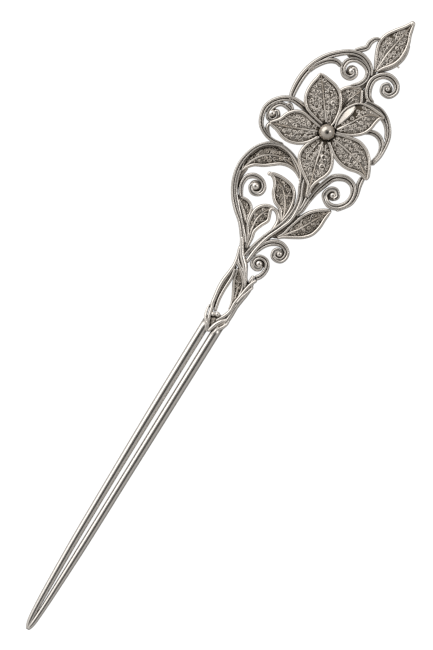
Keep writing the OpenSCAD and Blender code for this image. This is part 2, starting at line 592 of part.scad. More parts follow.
module top_arc() {
    color(silver) soldered(loop_h) difference() {
        union() {
            wire(top_arc_route, loop_h);
            wire(arc_branch, scroll_h);
        }
        clear_of(left_loop_route);
        clear_of(crown_left_route);
    }
}

module crown_scroll_left() {
    color(silver) soldered(scroll_h) difference() {
        union() {
            wire(crown_left_route, scroll_h);
            scroll_ball(crown_left_ball);
        }
        clear_of_leaf(back_leaf_edges);
    }
}

module crown_scroll_right() {
    color(silver) soldered(scroll_h) difference() {
        union() {
            wire(crown_right_route, scroll_h);
            scroll_ball(crown_right_ball);
        }
        clear_of(ring_outer);
        clear_of(crown_left_route);
        clear_of_leaf(back_leaf_edges);
    }
}

module crown_twig() {
    color(silver) soldered(scroll_h) difference() {
        wire(twig_route, scroll_h);
        clear_of(top_arc_route);
        clear_of_leaf(crown_leaf_edges);
    }
}

module crown_leaf() {
    color(dark_silver) soldered(rim_h) difference() {
        leaf(crown_leaf_edges);
        clear_of(top_arc_route);
        clear_of(crown_left_route);
        clear_of(crown_right_route);
    }
}

module back_leaf() {
    color(dark_silver) soldered(rim_h) leaf(back_leaf_edges);
}

module right_ring() {
    color(silver) soldered(loop_h) difference() {
        union() {
            wire(ring_outer, loop_h);
            wire(ring_inner, thin_h);
            wire(ring_arc, scroll_h);
        }
        clear_of_leaf(back_leaf_edges);
    }
}

// Seat that the stem runs into and the petals and the ball stand on
module flower_seat() {
    color(silver) translate([flower.x, flower.y, 0]) cylinder(petal_z - gap, r = seat_r);
}

module seat_room() {
    translate([flower.x, flower.y, -clear_low]) cylinder(clear_h, r = seat_r + gap, $fn = 32);
}

module ball_room() {
    translate([flower.x, flower.y, ball_z]) sphere(ball_r + gap, $fn = 24);
    translate([flower.x, flower.y, 0]) cylinder(ball_z, r = collar_r + gap, $fn = 24);
}

module petal(edges) {
    soldered(petal_rim_h) difference() {
        leaf(edges, petal_rim_w, petal_rim_h, petal_z);
        ball_room();
        children();
    }
}

module petal_1() {
    color(dark_silver) petal(petal_1_edges);
}

module petal_2() {
    color(dark_silver) petal(petal_2_edges) clear_of_leaf(petal_1_edges, petal_rim_w);
}

module petal_3() {
    color(dark_silver) petal(petal_3_edges) clear_of_leaf(petal_2_edges, petal_rim_w);
}

module petal_4() {
    color(dark_silver) petal(petal_4_edges) clear_of_leaf(petal_3_edges, petal_rim_w);
}

module petal_5() {
    color(dark_silver) petal(petal_5_edges) {
        clear_of_leaf(petal_1_edges, petal_rim_w);
        clear_of_leaf(petal_4_edges, petal_rim_w);
    }
}

module flower_ball() {
    color(bright_silver) translate([flower.x, flower.y, 0]) {
        translate([0, 0, ball_z]) sphere(ball_r, $fn = 48);
        translate([0, 0, petal_z]) cylinder(ball_z - petal_z, r = collar_r, $fn = 48);
    }
}

left_leg();
right_leg();
binding();
neck_wires();
neck_leaf();
neck_scroll();
main_stem();
stem_scroll();
right_leaf();
right_scroll();
teardrop_loop();
crescent_leaf();
loop_scroll();
bud_leaf();
small_leaf();
large_leaf();
left_loop();
left_scroll();
top_arc();
crown_scroll_left();
crown_scroll_right();
crown_twig();
crown_leaf();
back_leaf();
right_ring();
flower_seat();
petal_1();
petal_2();
petal_3();
petal_4();
petal_5();
flower_ball();
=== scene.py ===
from math import asin, cos, hypot, pi, radians, sin, sqrt

import bpy
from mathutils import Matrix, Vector
from mathutils.bvhtree import BVHTree


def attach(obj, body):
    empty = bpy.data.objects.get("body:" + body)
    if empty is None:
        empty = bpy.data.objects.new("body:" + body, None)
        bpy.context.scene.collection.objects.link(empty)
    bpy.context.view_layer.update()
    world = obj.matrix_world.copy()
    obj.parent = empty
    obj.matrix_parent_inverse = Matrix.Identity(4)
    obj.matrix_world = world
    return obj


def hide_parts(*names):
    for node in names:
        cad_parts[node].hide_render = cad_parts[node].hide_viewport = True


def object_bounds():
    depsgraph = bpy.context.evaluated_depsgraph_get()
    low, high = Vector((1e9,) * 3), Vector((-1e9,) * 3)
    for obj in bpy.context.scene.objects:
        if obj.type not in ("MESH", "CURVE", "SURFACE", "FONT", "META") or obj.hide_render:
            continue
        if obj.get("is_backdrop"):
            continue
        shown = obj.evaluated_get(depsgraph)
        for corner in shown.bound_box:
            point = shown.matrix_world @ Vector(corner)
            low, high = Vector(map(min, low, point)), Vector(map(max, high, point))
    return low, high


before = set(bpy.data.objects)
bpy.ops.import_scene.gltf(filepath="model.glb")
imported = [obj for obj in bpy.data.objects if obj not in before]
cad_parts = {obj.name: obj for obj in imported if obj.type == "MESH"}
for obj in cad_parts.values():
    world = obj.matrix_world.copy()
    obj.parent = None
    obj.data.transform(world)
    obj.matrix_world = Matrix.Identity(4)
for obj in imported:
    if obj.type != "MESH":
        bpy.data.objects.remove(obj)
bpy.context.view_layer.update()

MM = 0.001


def linked(name, data):
    """A new object in the scene"""
    obj = bpy.data.objects.new(name, data)
    bpy.context.scene.collection.objects.link(obj)
    return obj


# Camera: straight above the hairpin, turned so that the pin's tip is at the picture's lower left
aim = (2.16, -0.41)
camera_turn = radians(31.3)
view_height = 144.44
farthest_seen = 50000
lens = 400
sensor = 36
picture_right = Vector((cos(camera_turn), sin(camera_turn), 0))
picture_up = Vector((-sin(camera_turn), cos(camera_turn), 0))

eye = bpy.data.cameras.new("eye")
eye.lens = lens
eye.sensor_width = sensor
eye.clip_end = farthest_seen * MM
camera = linked("camera", eye)
camera.location = (aim[0] * MM, aim[1] * MM, view_height * MM * lens / sensor)
camera.rotation_euler = (0, 0, camera_turn)
bpy.context.scene.camera = camera
bpy.context.scene.view_settings.view_transform = "Standard"


class Signal:
    """The output of a node. Arithmetic on it adds Math nodes."""

    def __init__(self, graph, socket):
        self.graph, self.socket = graph, socket

    def maths(self, operation, *values):
        return self.graph.add("ShaderNodeMath", {"operation": operation}, *values)

    def __add__(self, other):
        return self.maths("ADD", self, other)

    __radd__ = __add__

    def __sub__(self, other):
        return self.maths("SUBTRACT", self, other)

    def __rsub__(self, other):
        return self.maths("SUBTRACT", other, self)

    def __mul__(self, other):
        return self.maths("MULTIPLY", self, other)

    __rmul__ = __mul__

    def band(self, low, high):
        """0 below low, 1 above high, and smooth between them"""
        settings = {"interpolation_type": "SMOOTHSTEP"}
        return self.graph.add("ShaderNodeMapRange", settings, self, low, high, 0, 1)

    def other(self, out):
        """Another output of the same node"""
        return Signal(self.graph, self.socket.node.outputs[out])


class Graph:
    """A node tree, of a material, the world or a modifier."""

    def __init__(self, tree):
        self.tree = tree

    def socket(self, node, place):
        """An input of a node by its place, or by its name or identifier with _ for a space"""
        if isinstance(place, int):
            return node.inputs[place]
        return next(s for s in node.inputs if place in (s.name.replace(" ", "_"), s.identifier))

    def add(self, kind, settings=None, *inputs, out=0, **named):
        """A node with these settings, whose inputs take values or Signals"""
        node = self.tree.nodes.new(kind)
        for key, value in (settings or {}).items():
            setattr(node, key, value)
        for place, value in list(enumerate(inputs)) + list(named.items()):
            socket = self.socket(node, place)
            if isinstance(value, Signal):
                self.tree.links.new(value.socket, socket)
            else:
                socket.default_value = value
        return Signal(self, node.outputs[out]) if len(node.outputs) else node


def fresh_graph(owner):
    """The emptied node tree of a material or world"""
    owner.use_nodes = True
    owner.node_tree.nodes.clear()
    return Graph(owner.node_tree)


def grey(level, warm):
    """A grey, warmed by more red and less blue"""
    return (level * (1 + 1.1 * warm), level, level * (1 - 1.2 * warm), 1)


# Shine comes from a sum of how open a place is, how proud it stands, and two noises. Openness and height
# stand partly for the polish and patina of old silver, and partly paint shade into closed places and down low
# sides.
open_patina_and_shade = 0.75
proud_polish_and_shade = 0.35
cloud_wear = 0.22
cloud_gloss = 0.08


def silver(name, bright, dark, shine_span, gloss, dullness, grain):
    """Antique silver, bright where it stands proud and open and dark in the recesses: partly polish and
    patina, and partly painted shade
    """
    material = bpy.data.materials.new(name)
    graph = fresh_graph(material)
    place = graph.add("ShaderNodeTexCoord", out=3)
    relief = graph.add("ShaderNodeAttribute", {"attribute_name": "relief"}, out=2)
    openness = graph.add("ShaderNodeAttribute", {"attribute_name": "openness"}, out=2)
    clouds = graph.add("ShaderNodeTexNoise", None, Vector=place, Scale=900.0, Detail=3.0)
    specks = graph.add("ShaderNodeTexNoise", None, Vector=place, Scale=5200.0, Detail=2.0)
    # Closed places and low sides are painted darker here: painted shade, besides the patina and polish of old
    # silver
    polish_and_shade_sum = openness * open_patina_and_shade + relief * proud_polish_and_shade + (clouds - 0.5) * cloud_wear + (specks - 0.5) * grain
    shine = polish_and_shade_sum.band(*shine_span)
    metal = graph.add("ShaderNodeMix", {"data_type": "RGBA"}, out=2, Factor=shine, A_Color=grey(*dark),
        B_Color=grey(*bright))
    rough = dullness + shine * (gloss - dullness) + (clouds - 0.5) * cloud_gloss
    bump = graph.add("ShaderNodeBump", None, Strength=0.12, Distance=0.00004, Height=specks)
    shader = graph.add("ShaderNodeBsdfPrincipled", None, Base_Color=metal, Metallic=1.0, Roughness=rough,
        Normal=bump)
    graph.add("ShaderNodeOutputMaterial", None, shader)
    return material


# Bright and dark tone as (level, warmth), the sum of polish, patina and painted shade that starts and ends
# the shine, the roughness where it shines and where it doesn't, and the grain of that sum
leg_silver = silver("leg_silver", (0.68, 0.05), (0.16, 0.1), (0.3, 0.85), 0.25, 0.42, 0.02)
wire_silver = silver("wire_silver", (0.77, 0.06), (0.1, 0.12), (0.4, 1), 0.24, 0.5, 0.06)
rim_silver = silver("rim_silver", (0.75, 0.07), (0.13, 0.13), (0.35, 0.95), 0.26, 0.5, 0.06)
petal_silver = silver("petal_silver", (0.85, 0.08), (0.12, 0.2), (0.25, 0.9), 0.32, 0.6, 0.3)
leaf_silver = silver("leaf_silver", (0.67, 0.11), (0.05, 0.22), (0.36, 1.0), 0.32, 0.6, 0.3)
recess_silver = silver("recess_silver", (0.6, 0.1), (0.18, 0.16), (0.05, 0.65), 0.5, 0.75, 0.2)
ball_silver = silver("ball_silver", (0.5, 0.09), (0.04, 0.1), (0.25, 0.95), 0.2, 0.4, 0.03)

# Routes of the legs and wires, as knots [x, y, width] that a smooth curve joins
left_leg_route = [[-0.06, -0.55, 2.12], [-0.15, -24, 2.04], [-0.11, -40, 1.86], [0.01, -56, 1.74],
    [0.18, -64, 1.64], [0.3, -68, 1.58], [0.43, -72, 1.48], [0.65, -76, 1.34], [0.91, -78.3, 1.2],
    [1.21, -79.65, 0.8], [1.33, -80, 0.3]]
right_leg_route = [[2.85, -0.55, 2.18], [2.63, -24, 2.04], [2.47, -40, 1.9], [2.33, -56, 1.8],
    [2.2, -64, 1.64], [2.12, -68, 1.54], [2.04, -72, 1.42], [1.89, -76, 1.3], [1.73, -78.3, 1.2],
    [1.49, -79.65, 0.9], [1.38, -80, 0.3]]

teardrop_outer = [[-2.2, 17.7, 0.9], [-3.2, 19.35, 1], [-5.25, 21.9, 1], [-7.6, 23.9, 1], [-9.5, 26, 1],
    [-11.1, 28.8, 1], [-11.95, 32, 1], [-11.83, 35, 0.95], [-10.86, 37.84, 0.86], [-9.04, 39.97, 0.84],
    [-6.5, 41.08, 0.82], [-3.47, 40.78, 0.82], [-0.96, 39.57, 0.8], [0.75, 38.1, 0.8], [1.5, 36.5, 0.7]]
teardrop_inner = [[-1.9, 18.5, 0.6], [-3, 20, 0.7], [-5.3, 22.5, 0.7], [-7.5, 24.8, 0.7],
    [-9.5, 27.2, 0.7], [-10.8, 30, 0.65], [-11.1, 31.8, 0.5]]
stem_left = [[-0.5, 15.4, 0.8], [0, 18.3, 0.85], [0.95, 21.5, 0.9], [2, 24, 0.95], [2.98, 26.4, 0.95],
    [3.5, 28.8, 0.94], [3.55, 31.2, 0.85], [3, 33.6, 0.75], [1.8, 36.2, 0.75], [1.6, 38.8, 0.75],
    [1.4, 42.5, 0.8], [1, 46.6, 0.9]]
stem_right = [[0.6, 15, 0.9], [0.85, 18.3, 0.85], [1.7, 22, 0.75], [3, 25, 0.75], [4.1, 27.8, 0.75],
    [4.2, 30.5, 0.75], [3.8, 33, 0.75], [2.7, 35.6, 0.75], [2, 37.4, 0.6]]
stem_fork = [[4.1, 28.9, 0.5], [4.55, 30.6, 0.65], [4.7, 32.4, 0.65], [4.5, 34.2, 0.5]]
stem_scroll_route = [[0.9, 16.8, 0.7], [1.4, 19, 1.2], [2.2, 20.6, 1.35], [3.3, 21.7, 1.4],
    [4.7, 22.3, 1.35], [6, 22.2, 1.3], [7.1, 21.5, 1.2], [7.4, 20.4, 1.15], [7, 19.3, 1.1],
    [6, 18.9, 1], [5, 19.2, 0.9], [4.7, 20.2, 0.85], [5.2, 20.9, 0.8], [5.9, 20.8, 0.6]]
neck_scroll_route = [[4.25, 13.1, 1.2], [4.8, 13.8, 1.15], [5.15, 14.9, 1.1], [5.05, 16.4, 1.1],
    [4.1, 17.5, 1.1], [2.7, 17.5, 1.1], [1.85, 16.6, 1], [2, 15.3, 0.9], [3, 14.85, 0.85],
    [3.85, 15.3, 0.75], [3.7, 16, 0.6]]
scroll_stem = [[4.75, 29.6, 0.5], [5.25, 31.2, 0.7], [5.35, 33.5, 0.95], [5.6, 36, 1.25],
    [6.2, 38.2, 1.5], [7.2, 40.7, 1.6], [8.7, 41.9, 1.6], [10.3, 42.3, 1.5], [12, 41.7, 1.35],
    [13, 40, 1.2], [12.9, 37.7, 1.2], [11.4, 35.8, 1.2], [9.4, 35.4, 1.1], [7.7, 36.7, 1],
    [8.1, 38.4, 0.9], [9.3, 38.9, 0.9], [10.25, 37.9, 0.85], [9.8, 37, 0.7]]
scroll_post = [[12.9, 44.4, 1.2], [13.1, 42.5, 1.3], [13.85, 40.2, 0.8], [13.7, 38, 0.7],
    [12.45, 36.1, 0.7], [11.7, 35.2, 0.6]]
loop_scroll_route = [[-7.9, 26.9, 0.7], [-8.6, 27.7, 0.95], [-9.3, 29.3, 1], [-9.15, 31.2, 1.15],
    [-7.8, 32.35, 1.2], [-5.9, 32.3, 1], [-4.65, 31, 1], [-4.9, 29.5, 0.95], [-6.3, 28.95, 0.85],
    [-7.3, 29.9, 0.8], [-6.9, 30.6, 0.7]]
left_loop_route = [[-6.1, 41.5, 0.7], [-8.4, 41.15, 0.85], [-10.7, 41.6, 0.95], [-12.7, 43.1, 1.05],
    [-13.65, 45.9, 1.15], [-13.2, 48.1, 1.25], [-11.6, 50.1, 1.3], [-9.5, 51.2, 1.3], [-7.5, 51.2, 1.45],
    [-5.6, 50.9, 1.5], [-3.6, 50.4, 1.2]]
left_loop_inner = [[-10.9, 44.4, 0.6], [-11.1, 43.3, 0.8], [-10.5, 42.3, 0.8], [-9.4, 41.6, 0.4]]
left_scroll_route = [[-7.9, 48.6, 0.9], [-9.4, 49.1, 1], [-11, 49.05, 1], [-12.05, 48, 1],
    [-12.45, 46.4, 0.95], [-12, 45, 0.9], [-10.8, 44.9, 0.8], [-10.2, 46.1, 0.75], [-10.9, 47.1, 0.7],
    [-11.5, 46.8, 0.5]]
left_twig = [[-10.1, 48.9, 0.6], [-9.4, 50.1, 0.6], [-8.1, 49.2, 0.5]]
top_arc_route = [[-9.7, 50.9, 1], [-10.15, 52.6, 1.4], [-10.35, 55, 1.6], [-10.2, 57.5, 1.6],
    [-9.5, 60.3, 1.5], [-8.1, 63, 1.4], [-6.15, 65.15, 1.3], [-3.85, 66.85, 1.25], [-1.4, 67.45, 1.3],
    [0.7, 66.85, 1.2], [2.1, 65.7, 1], [2.65, 64.7, 0.8]]
arc_branch = [[-9.6, 58.4, 0.8], [-8.85, 60.5, 1.2], [-7.3, 62.5, 1.2], [-5.6, 63.45, 1.2],
    [-4.1, 63.2, 1]]
crown_left_route = [[0.1, 60.5, 0.6], [0.8, 61.05, 0.9], [1.6, 61.9, 1.1], [2.15, 63.5, 1.1],
    [1.6, 65.2, 1.1], [0, 66.05, 1.1], [-2, 66, 1.1], [-3.4, 64.8, 1.1], [-3.5, 63, 1.05],
    [-2.4, 61.8, 1], [-1, 61.9, 0.9], [-0.4, 63.1, 0.85], [-1.1, 64.1, 0.8], [-1.7, 63.8, 0.6]]
crown_right_route = [[6.2, 59.6, 1.1], [4.6, 60.4, 1.5], [3.65, 62.3, 1.6], [3.6, 64.3, 1.5],
    [4.8, 66, 1.45], [6.65, 66.65, 1.5], [8.5, 66, 1.35], [9.3, 64.5, 1.1], [8.5, 62.95, 1.05],
    [6.9, 62.9, 0.95], [6.3, 64.1, 0.85], [7, 64.9, 0.8], [7.6, 64.5, 0.6]]
twig_route = [[-3.1, 67.7, 1], [-2.2, 68.6, 1.2], [-1.3, 69.6, 1.2], [-1.25, 70.9, 1.15],
    [-0.7, 72.1, 1], [0.15, 72.6, 0.7]]
ring_outer = [[4.7, 59.2, 0.8], [6.6, 59.4, 0.9], [8.6, 59.3, 1], [10.6, 58.35, 1],
    [12.2, 56.75, 1], [13.2, 54.9, 1], [13.6, 52.6, 1], [13.6, 50.2, 1], [13.1, 48, 0.9]]
ring_inner = [[9.3, 57.9, 0.6], [10.8, 57.2, 0.7], [12, 56, 0.7], [12.9, 54.3, 0.6]]
ring_arc = [[8, 53.2, 0.9], [9.3, 54, 1.2], [10.9, 54.1, 1.3], [12.3, 53.3, 1.2], [13.1, 51.9, 1],
    [13.3, 50.2, 0.9], [12.9, 48.4, 0.8]]

neck_outer_left = [[-0.1, 0.5, 0.5], [-0.5, 1.7, 0.75], [-1.05, 3.2, 0.9], [-1.35, 4.9, 0.9],
    [-1.65, 7, 0.9], [-1.7, 9, 0.9], [-1.5, 11, 0.85], [-1.4, 13, 0.8], [-1.7, 15, 0.8], [-2.4, 17.3, 0.8]]
neck_inner_left = [[0.25, 2.1, 0.6], [-0.1, 3.6, 0.65], [-0.4, 5.2, 0.7], [-0.5, 7.4, 0.7],
    [-0.45, 9.2, 0.7], [-0.5, 10.7, 0.65], [-0.9, 12.4, 0.5]]
neck_cross_high = [[-3.2, 19.3, 0.7], [-2.15, 17.5, 1], [-1, 15.7, 1.35], [0.45, 14.3, 1.4], [1.45, 13, 1.05],
    [2.25, 11.7, 0.85], [3, 10.3, 0.6]]
neck_cross_low = [[-1.9, 15.4, 0.6], [-1, 14, 0.9], [0.4, 13.1, 0.9], [1.7, 12, 0.8], [3.2, 9.9, 0.5]]
neck_shaft_left = [[4.6, 12.6, 0.6], [3.95, 11.2, 0.7], [3.6, 9.6, 0.7], [3.3, 7.6, 0.7],
    [3.05, 5.6, 0.7], [3.15, 4, 0.75], [2.75, 2.5, 0.75], [1.9, 1, 0.6], [1.6, 0.4, 0.4]]
neck_shaft_right = [[3.8, 12.5, 0.7], [4.2, 10.8, 1], [4.2, 9, 1.1], [3.9, 7, 1.15], [3.7, 5.2, 1.15],
    [3.7, 3.4, 1.2], [3.65, 1.8, 1.2], [3.6, 0.4, 1.1], [3.4, -0.8, 0.7]]
neck_shaft_cross = [[4.75, 10.9, 0.4], [4.3, 9.4, 0.5], [3.75, 7.8, 0.5], [3.45, 6, 0.4]]
neck_nib = [[3.4, 11.4, 0.5], [3.6, 12.7, 0.75]]

# A leaf has three routes from its base to its tip: its left edge, its midrib and its right edge.
crown_leaf_edges = [
    [[2.7, 66.2], [1.9, 68], [1, 70], [0.45, 72], [0.75, 74], [1.95, 76], [3.5, 78], [4.6, 79.85]],
    [[3.05, 65.7], [3.15, 68], [3.3, 70.5], [3.65, 73], [4.2, 76], [4.7, 79.7]],
    [[3.35, 66.2], [4.2, 66.9], [5.9, 68.9], [6.75, 71], [6.85, 73], [6.3, 75], [5.5, 77], [4.9, 79.8]]]
back_leaf_edges = [
    [[0.2, 54.1], [-1.1, 56.5], [-1.35, 58.3], [-0.5, 59.75], [1.1, 60.8], [2.45, 61.1]],
    [[0.85, 54], [1.3, 57.4], [2.1, 59.5], [2.6, 61]],
    [[1.4, 54], [3.4, 56.2], [4.1, 58.1], [3.5, 59.6], [2.75, 61]]]
large_leaf_edges = [
    [[2.45, 26.6], [1.9, 27.4], [0.8, 28.9], [-1, 29.75], [-2.3, 31.2], [-2.95, 32.9], [-4, 34.1],
        [-5.1, 34.5]],
    [[2.5, 26.7], [2.1, 28.7], [0.8, 31], [-0.5, 32.6], [-2.2, 33.8], [-5.1, 34.65]],
    [[2.6, 26.8], [2.85, 29], [2.75, 31], [2, 33.2], [0.6, 34.6], [-1.2, 35.1], [-3.2, 35.15],
        [-5.1, 34.8]]]
small_leaf_edges = [
    [[-1.3, 17.5], [-2.2, 20], [-3.4, 22], [-3.9, 24.2], [-3.85, 26], [-3.1, 27.4], [-1.9, 28.2],
        [-0.5, 28.5]],
    [[-1.1, 17.6], [-2.15, 21.5], [-2.4, 24.5], [-1.6, 27], [-0.6, 28.4]],
    [[-0.85, 17.5], [-1.1, 20], [-1.45, 21.8], [-0.8, 23.8], [-0.1, 25.3], [-0.45, 26.6],
        [-0.8, 27.6], [-0.5, 28.3]]]
small_leaf_curl = [[-0.6, 28.3, 0.7], [0.4, 28.1, 0.85], [1.3, 27.4, 0.9], [1.85, 26.4, 0.9],
    [1.95, 25.2, 0.85], [1.8, 23.9, 0.6]]
right_leaf_edges = [
    [[3.5, 23.3], [4.3, 24.8], [4.65, 26.4], [5.2, 28.2], [5.8, 30], [6.9, 31.8], [8.5, 33.3],
        [10.5, 34.5]],
    [[3.6, 23.3], [5.2, 25.2], [6.8, 27.4], [7.9, 29.4], [9, 31.5], [10.6, 34.4]],
    [[3.8, 23], [4.8, 24], [6.6, 25], [8.5, 26.2], [9.9, 27.8], [10.5, 30], [10.55, 32],
        [10.75, 34.4]]]
crescent_leaf_edges = [
    [[-11, 31.9], [-11.12, 34.55], [-10.26, 37.44], [-8.72, 39.38], [-6.33, 40.32], [-3.53, 40.12],
        [-1.08, 39.1], [0.9, 37.3]],
    [[-10.9, 31.9], [-10.2, 34.7], [-8.7, 37], [-6.5, 38.5], [-4, 39], [-1.4, 38.6], [0.9, 37.1]],
    [[-10.85, 31.8], [-10.3, 33], [-9.2, 34.3], [-7.3, 35.3], [-5.7, 36.5], [-4.2, 37.6],
        [-2.3, 38.1], [-0.4, 37.8], [0.9, 37]]]
bud_leaf_edges = [
    [[-4.3, 22.6], [-5.5, 23.9], [-6.8, 25.1], [-8.1, 26]],
    [[-4.1, 22.4], [-4.9, 23.6], [-6.2, 24.8], [-8, 26.1]],
    [[-3.9, 22.3], [-4.2, 23.7], [-4.45, 25.1], [-5.2, 26.3], [-6.5, 26.85], [-8, 26.7]]]
neck_leaf_edges = [
    [[2.75, 4], [2.4, 6], [1.5, 7.9], [0.6, 9.6], [0.05, 11], [-0.3, 12.8]],
    [[2.8, 4.1], [2.4, 7.5], [1.7, 9.6], [0.9, 11.3], [-0.2, 12.9]],
    [[2.9, 4], [3.05, 6.3], [3.05, 8.3], [2.7, 9.9], [1.7, 11.4], [0, 12.9]]]
petal_1_edges = [
    [[-0.9, 49.9], [-3.2, 50.35], [-5.4, 51.05], [-6.9, 52.5], [-7.55, 54.4], [-7.55, 56.5],
        [-7.2, 58.2], [-7.15, 59.3]],
    [[-0.3, 50.6], [-1.6, 52.3], [-2.8, 53.8], [-3.9, 55.3], [-5.2, 57], [-7, 59.3]],
    [[0.9, 50.5], [1.15, 51.8], [0.85, 54.2], [0, 56.2], [-1.2, 57.75], [-3, 58.75], [-5, 59.1],
        [-6.9, 59.35]]]
petal_2_edges = [
    [[1.9, 50.4], [1.65, 52], [1.55, 53.6], [1.8, 55.2], [2.6, 56.7], [3.8, 57.9], [6, 58.5],
        [8.2, 58.5], [10.1, 58.3]],
    [[2.4, 50.3], [4.1, 53], [5.3, 55], [6.8, 56.9], [10.1, 58.15]],
    [[2.6, 49.9], [4, 50.2], [6, 51.2], [7.8, 52.7], [8.7, 54.5], [8.95, 56.2], [9.3, 57.5],
        [10.1, 58.1]]]
petal_3_edges = [
    [[2.6, 49.4], [4, 49.95], [6, 50.5], [8.2, 50.75], [10.2, 50.1], [11.7, 48.9], [12.9, 47.2],
        [13.7, 45.5], [13.95, 44.5]],
    [[2.7, 48.3], [6, 47.85], [9, 47.2], [11, 46.5], [13.85, 44.5]],
    [[2.4, 47.3], [3.2, 46.6], [5, 45.3], [7, 44.5], [9, 44.35], [11, 44.8], [12.6, 44.8],
        [13.8, 44.35]]]
petal_4_edges = [
    [[2.2, 47.2], [3.5, 46.2], [5.05, 44.3], [5.85, 42.2], [5.6, 40.4], [4.8, 38.7], [4.3, 36.8],
        [4.6, 34.3]],
    [[1.1, 46.7], [1.85, 44], [2.3, 42], [2.9, 40], [3.5, 38], [4.45, 34.5]],
    [[0, 47.2], [-0.7, 46], [-1.6, 44], [-1.8, 42], [-1.1, 40.3], [0.3, 39], [2, 37.8],
        [3.5, 36.6], [4.3, 34.3]]]
petal_5_edges = [
    [[-0.3, 47.1], [-1.4, 45.1], [-3, 43.65], [-5, 42.85], [-7, 42.85], [-9, 43.6], [-11.1, 43.95]],
    [[-0.9, 48], [-3, 47.1], [-5, 46.3], [-7, 45.5], [-11.1, 44.05]],
    [[-0.9, 49.1], [-2.4, 49.3], [-4, 49.6], [-5.8, 49.85], [-7.6, 49.2], [-8.8, 47.8],
        [-9.6, 45.9], [-11.1, 44.2]]]

# Strands and beads of the binding, with the columns [x, y, width, height of the underside] and
# [x, y, radius]
binding_strands = [
    [[-1.25, 4.4, 0.4, 0.6], [-0.8, 2.6, 0.55, 0.8], [-0.5, 1.3, 0.6, 0.9], [-0.05, -0.1, 0.6, 1],
        [0.6, -1.5, 0.55, 0.9], [1.1, -2.4, 0.4, 0.8]],
    [[-1.5, 2.7, 0.25, 0.2], [-1.42, 1.5, 0.36, 0.45], [-1.06, 0.2, 0.46, 0.7], [-0.35, -0.85, 0.55, 0.95],
        [0.35, -1.7, 0.55, 0.9], [0.95, -2.7, 0.4, 0.8]],
    [[3.7, 3, 0.4, 0.1], [3.35, 1.8, 0.6, 0.5], [2.75, 1, 0.8, 0.9], [2, -0.2, 0.85, 1.1],
        [1.6, -1.3, 0.8, 1.1], [1.25, -2.5, 0.5, 0.8]],
    [[3.6, 3, 0.4, 0.2], [3.95, 1.4, 0.6, 0.5], [3.75, 0.3, 0.7, 0.8], [3.2, -0.7, 0.75, 0.95],
        [2.7, -1.6, 0.6, 0.9], [2.35, -2.8, 0.4, 0.8]]]
binding_balls = [[1.08, 1.72, 0.6], [0.25, 1.3, 0.52], [1.2, -0.1, 0.17]]

# Low metal that closes the narrow gaps beside and under the wires, as solder does. A fourth number is the
# height of the underside.
recesses = [
    [[-8.6, 27, 0.4], [-7.9, 25.8, 0.5], [-7.2, 24.9, 0.5], [-6.4, 24, 0.5], [-4.9, 22.8, 0.5],
        [-3.85, 21.6, 0.5], [-2.9, 20.6, 0.4]],
    [[-0.6, 2.4, 0.6, 0.5], [-1, 4.6, 0.7, 0.5], [-1.1, 7.2, 0.7, 0.5], [-1.05, 9, 0.7, 0.5],
        [-0.95, 11, 0.7, 0.4], [-1.1, 13, 0.9, 0.2]],
    [[-1.3, 14.4, 1.2], [-1.1, 16, 1.9], [-0.8, 17.4, 1.7], [-0.6, 18.1, 0.9]],
    [[0.2, 14.2, 1.2], [1.4, 12.8, 0.9], [3.3, 10.6, 0.7]],
    [[3.7, 12.2, 0.9], [4, 10, 1.1], [3.6, 7, 1.1], [3.4, 4, 1.1]],
    [[-9.6, 27.2, 0.8], [-10.3, 29, 0.9], [-10.5, 31, 1], [-10.3, 33, 0.9]],
    [[0.5, 17, 1.2], [1.4, 21, 1.1], [2.7, 24.4, 1.2], [3.9, 27.8, 1.2], [4.5, 31, 1.5], [3.7, 34.5, 1.9],
        [2.6, 37.2, 1.4], [1.9, 39.5, 1]],
    [[3.9, 23.5, 0.8], [3, 23.15, 0.6], [2.3, 22.6, 0.4]],
    [[-3.2, 19.6, 0.9], [-2.2, 18.6, 1.2], [-1.2, 17.4, 0.9]],
    [[2.2, 61, 1], [2.6, 62.6, 1], [2.8, 64.4, 1], [2.9, 66.2, 0.9]],
    [[3, 22.9, 0.8], [3.9, 25, 0.8], [4.4, 27, 0.8], [4.9, 29, 0.7], [5.2, 30.1, 0.5]],
    [[3.7, 57.2, 0.9], [4.1, 59, 1.1], [3.2, 61.2, 1]],
    [[4.6, 35.6, 0.5], [4.85, 37, 0.7], [5.3, 38.3, 0.6]],
    [[3.5, 1.5, 0.5, 1], [3.05, 0.4, 0.6, 1.1], [2.45, -0.6, 0.6, 1.1], [1.95, -1.6, 0.5, 1]],
    [[-1.5, 19, 0.8], [-1.9, 21, 0.7], [-2.6, 22.8, 0.5]],
    [[-0.6, 49.7, 1, 1.7], [-2.2, 49.9, 1, 1.6], [-4, 50.3, 0.9, 1.1], [-6, 50.6, 0.8, 0.3]],
    [[-11, 31.8, 0.6], [-11.3, 33.6, 0.7], [-10.98, 35.6, 0.8], [-10.15, 37.6, 0.8], [-8.65, 39.4, 0.8],
        [-6.35, 40.35, 0.8], [-3.5, 40.15, 0.8], [-1.05, 39.1, 0.8], [0.2, 38.1, 0.5]],
    [[-1.6, 67, 0.8], [-3, 66.4, 0.9], [-4, 65.9, 0.5]]]
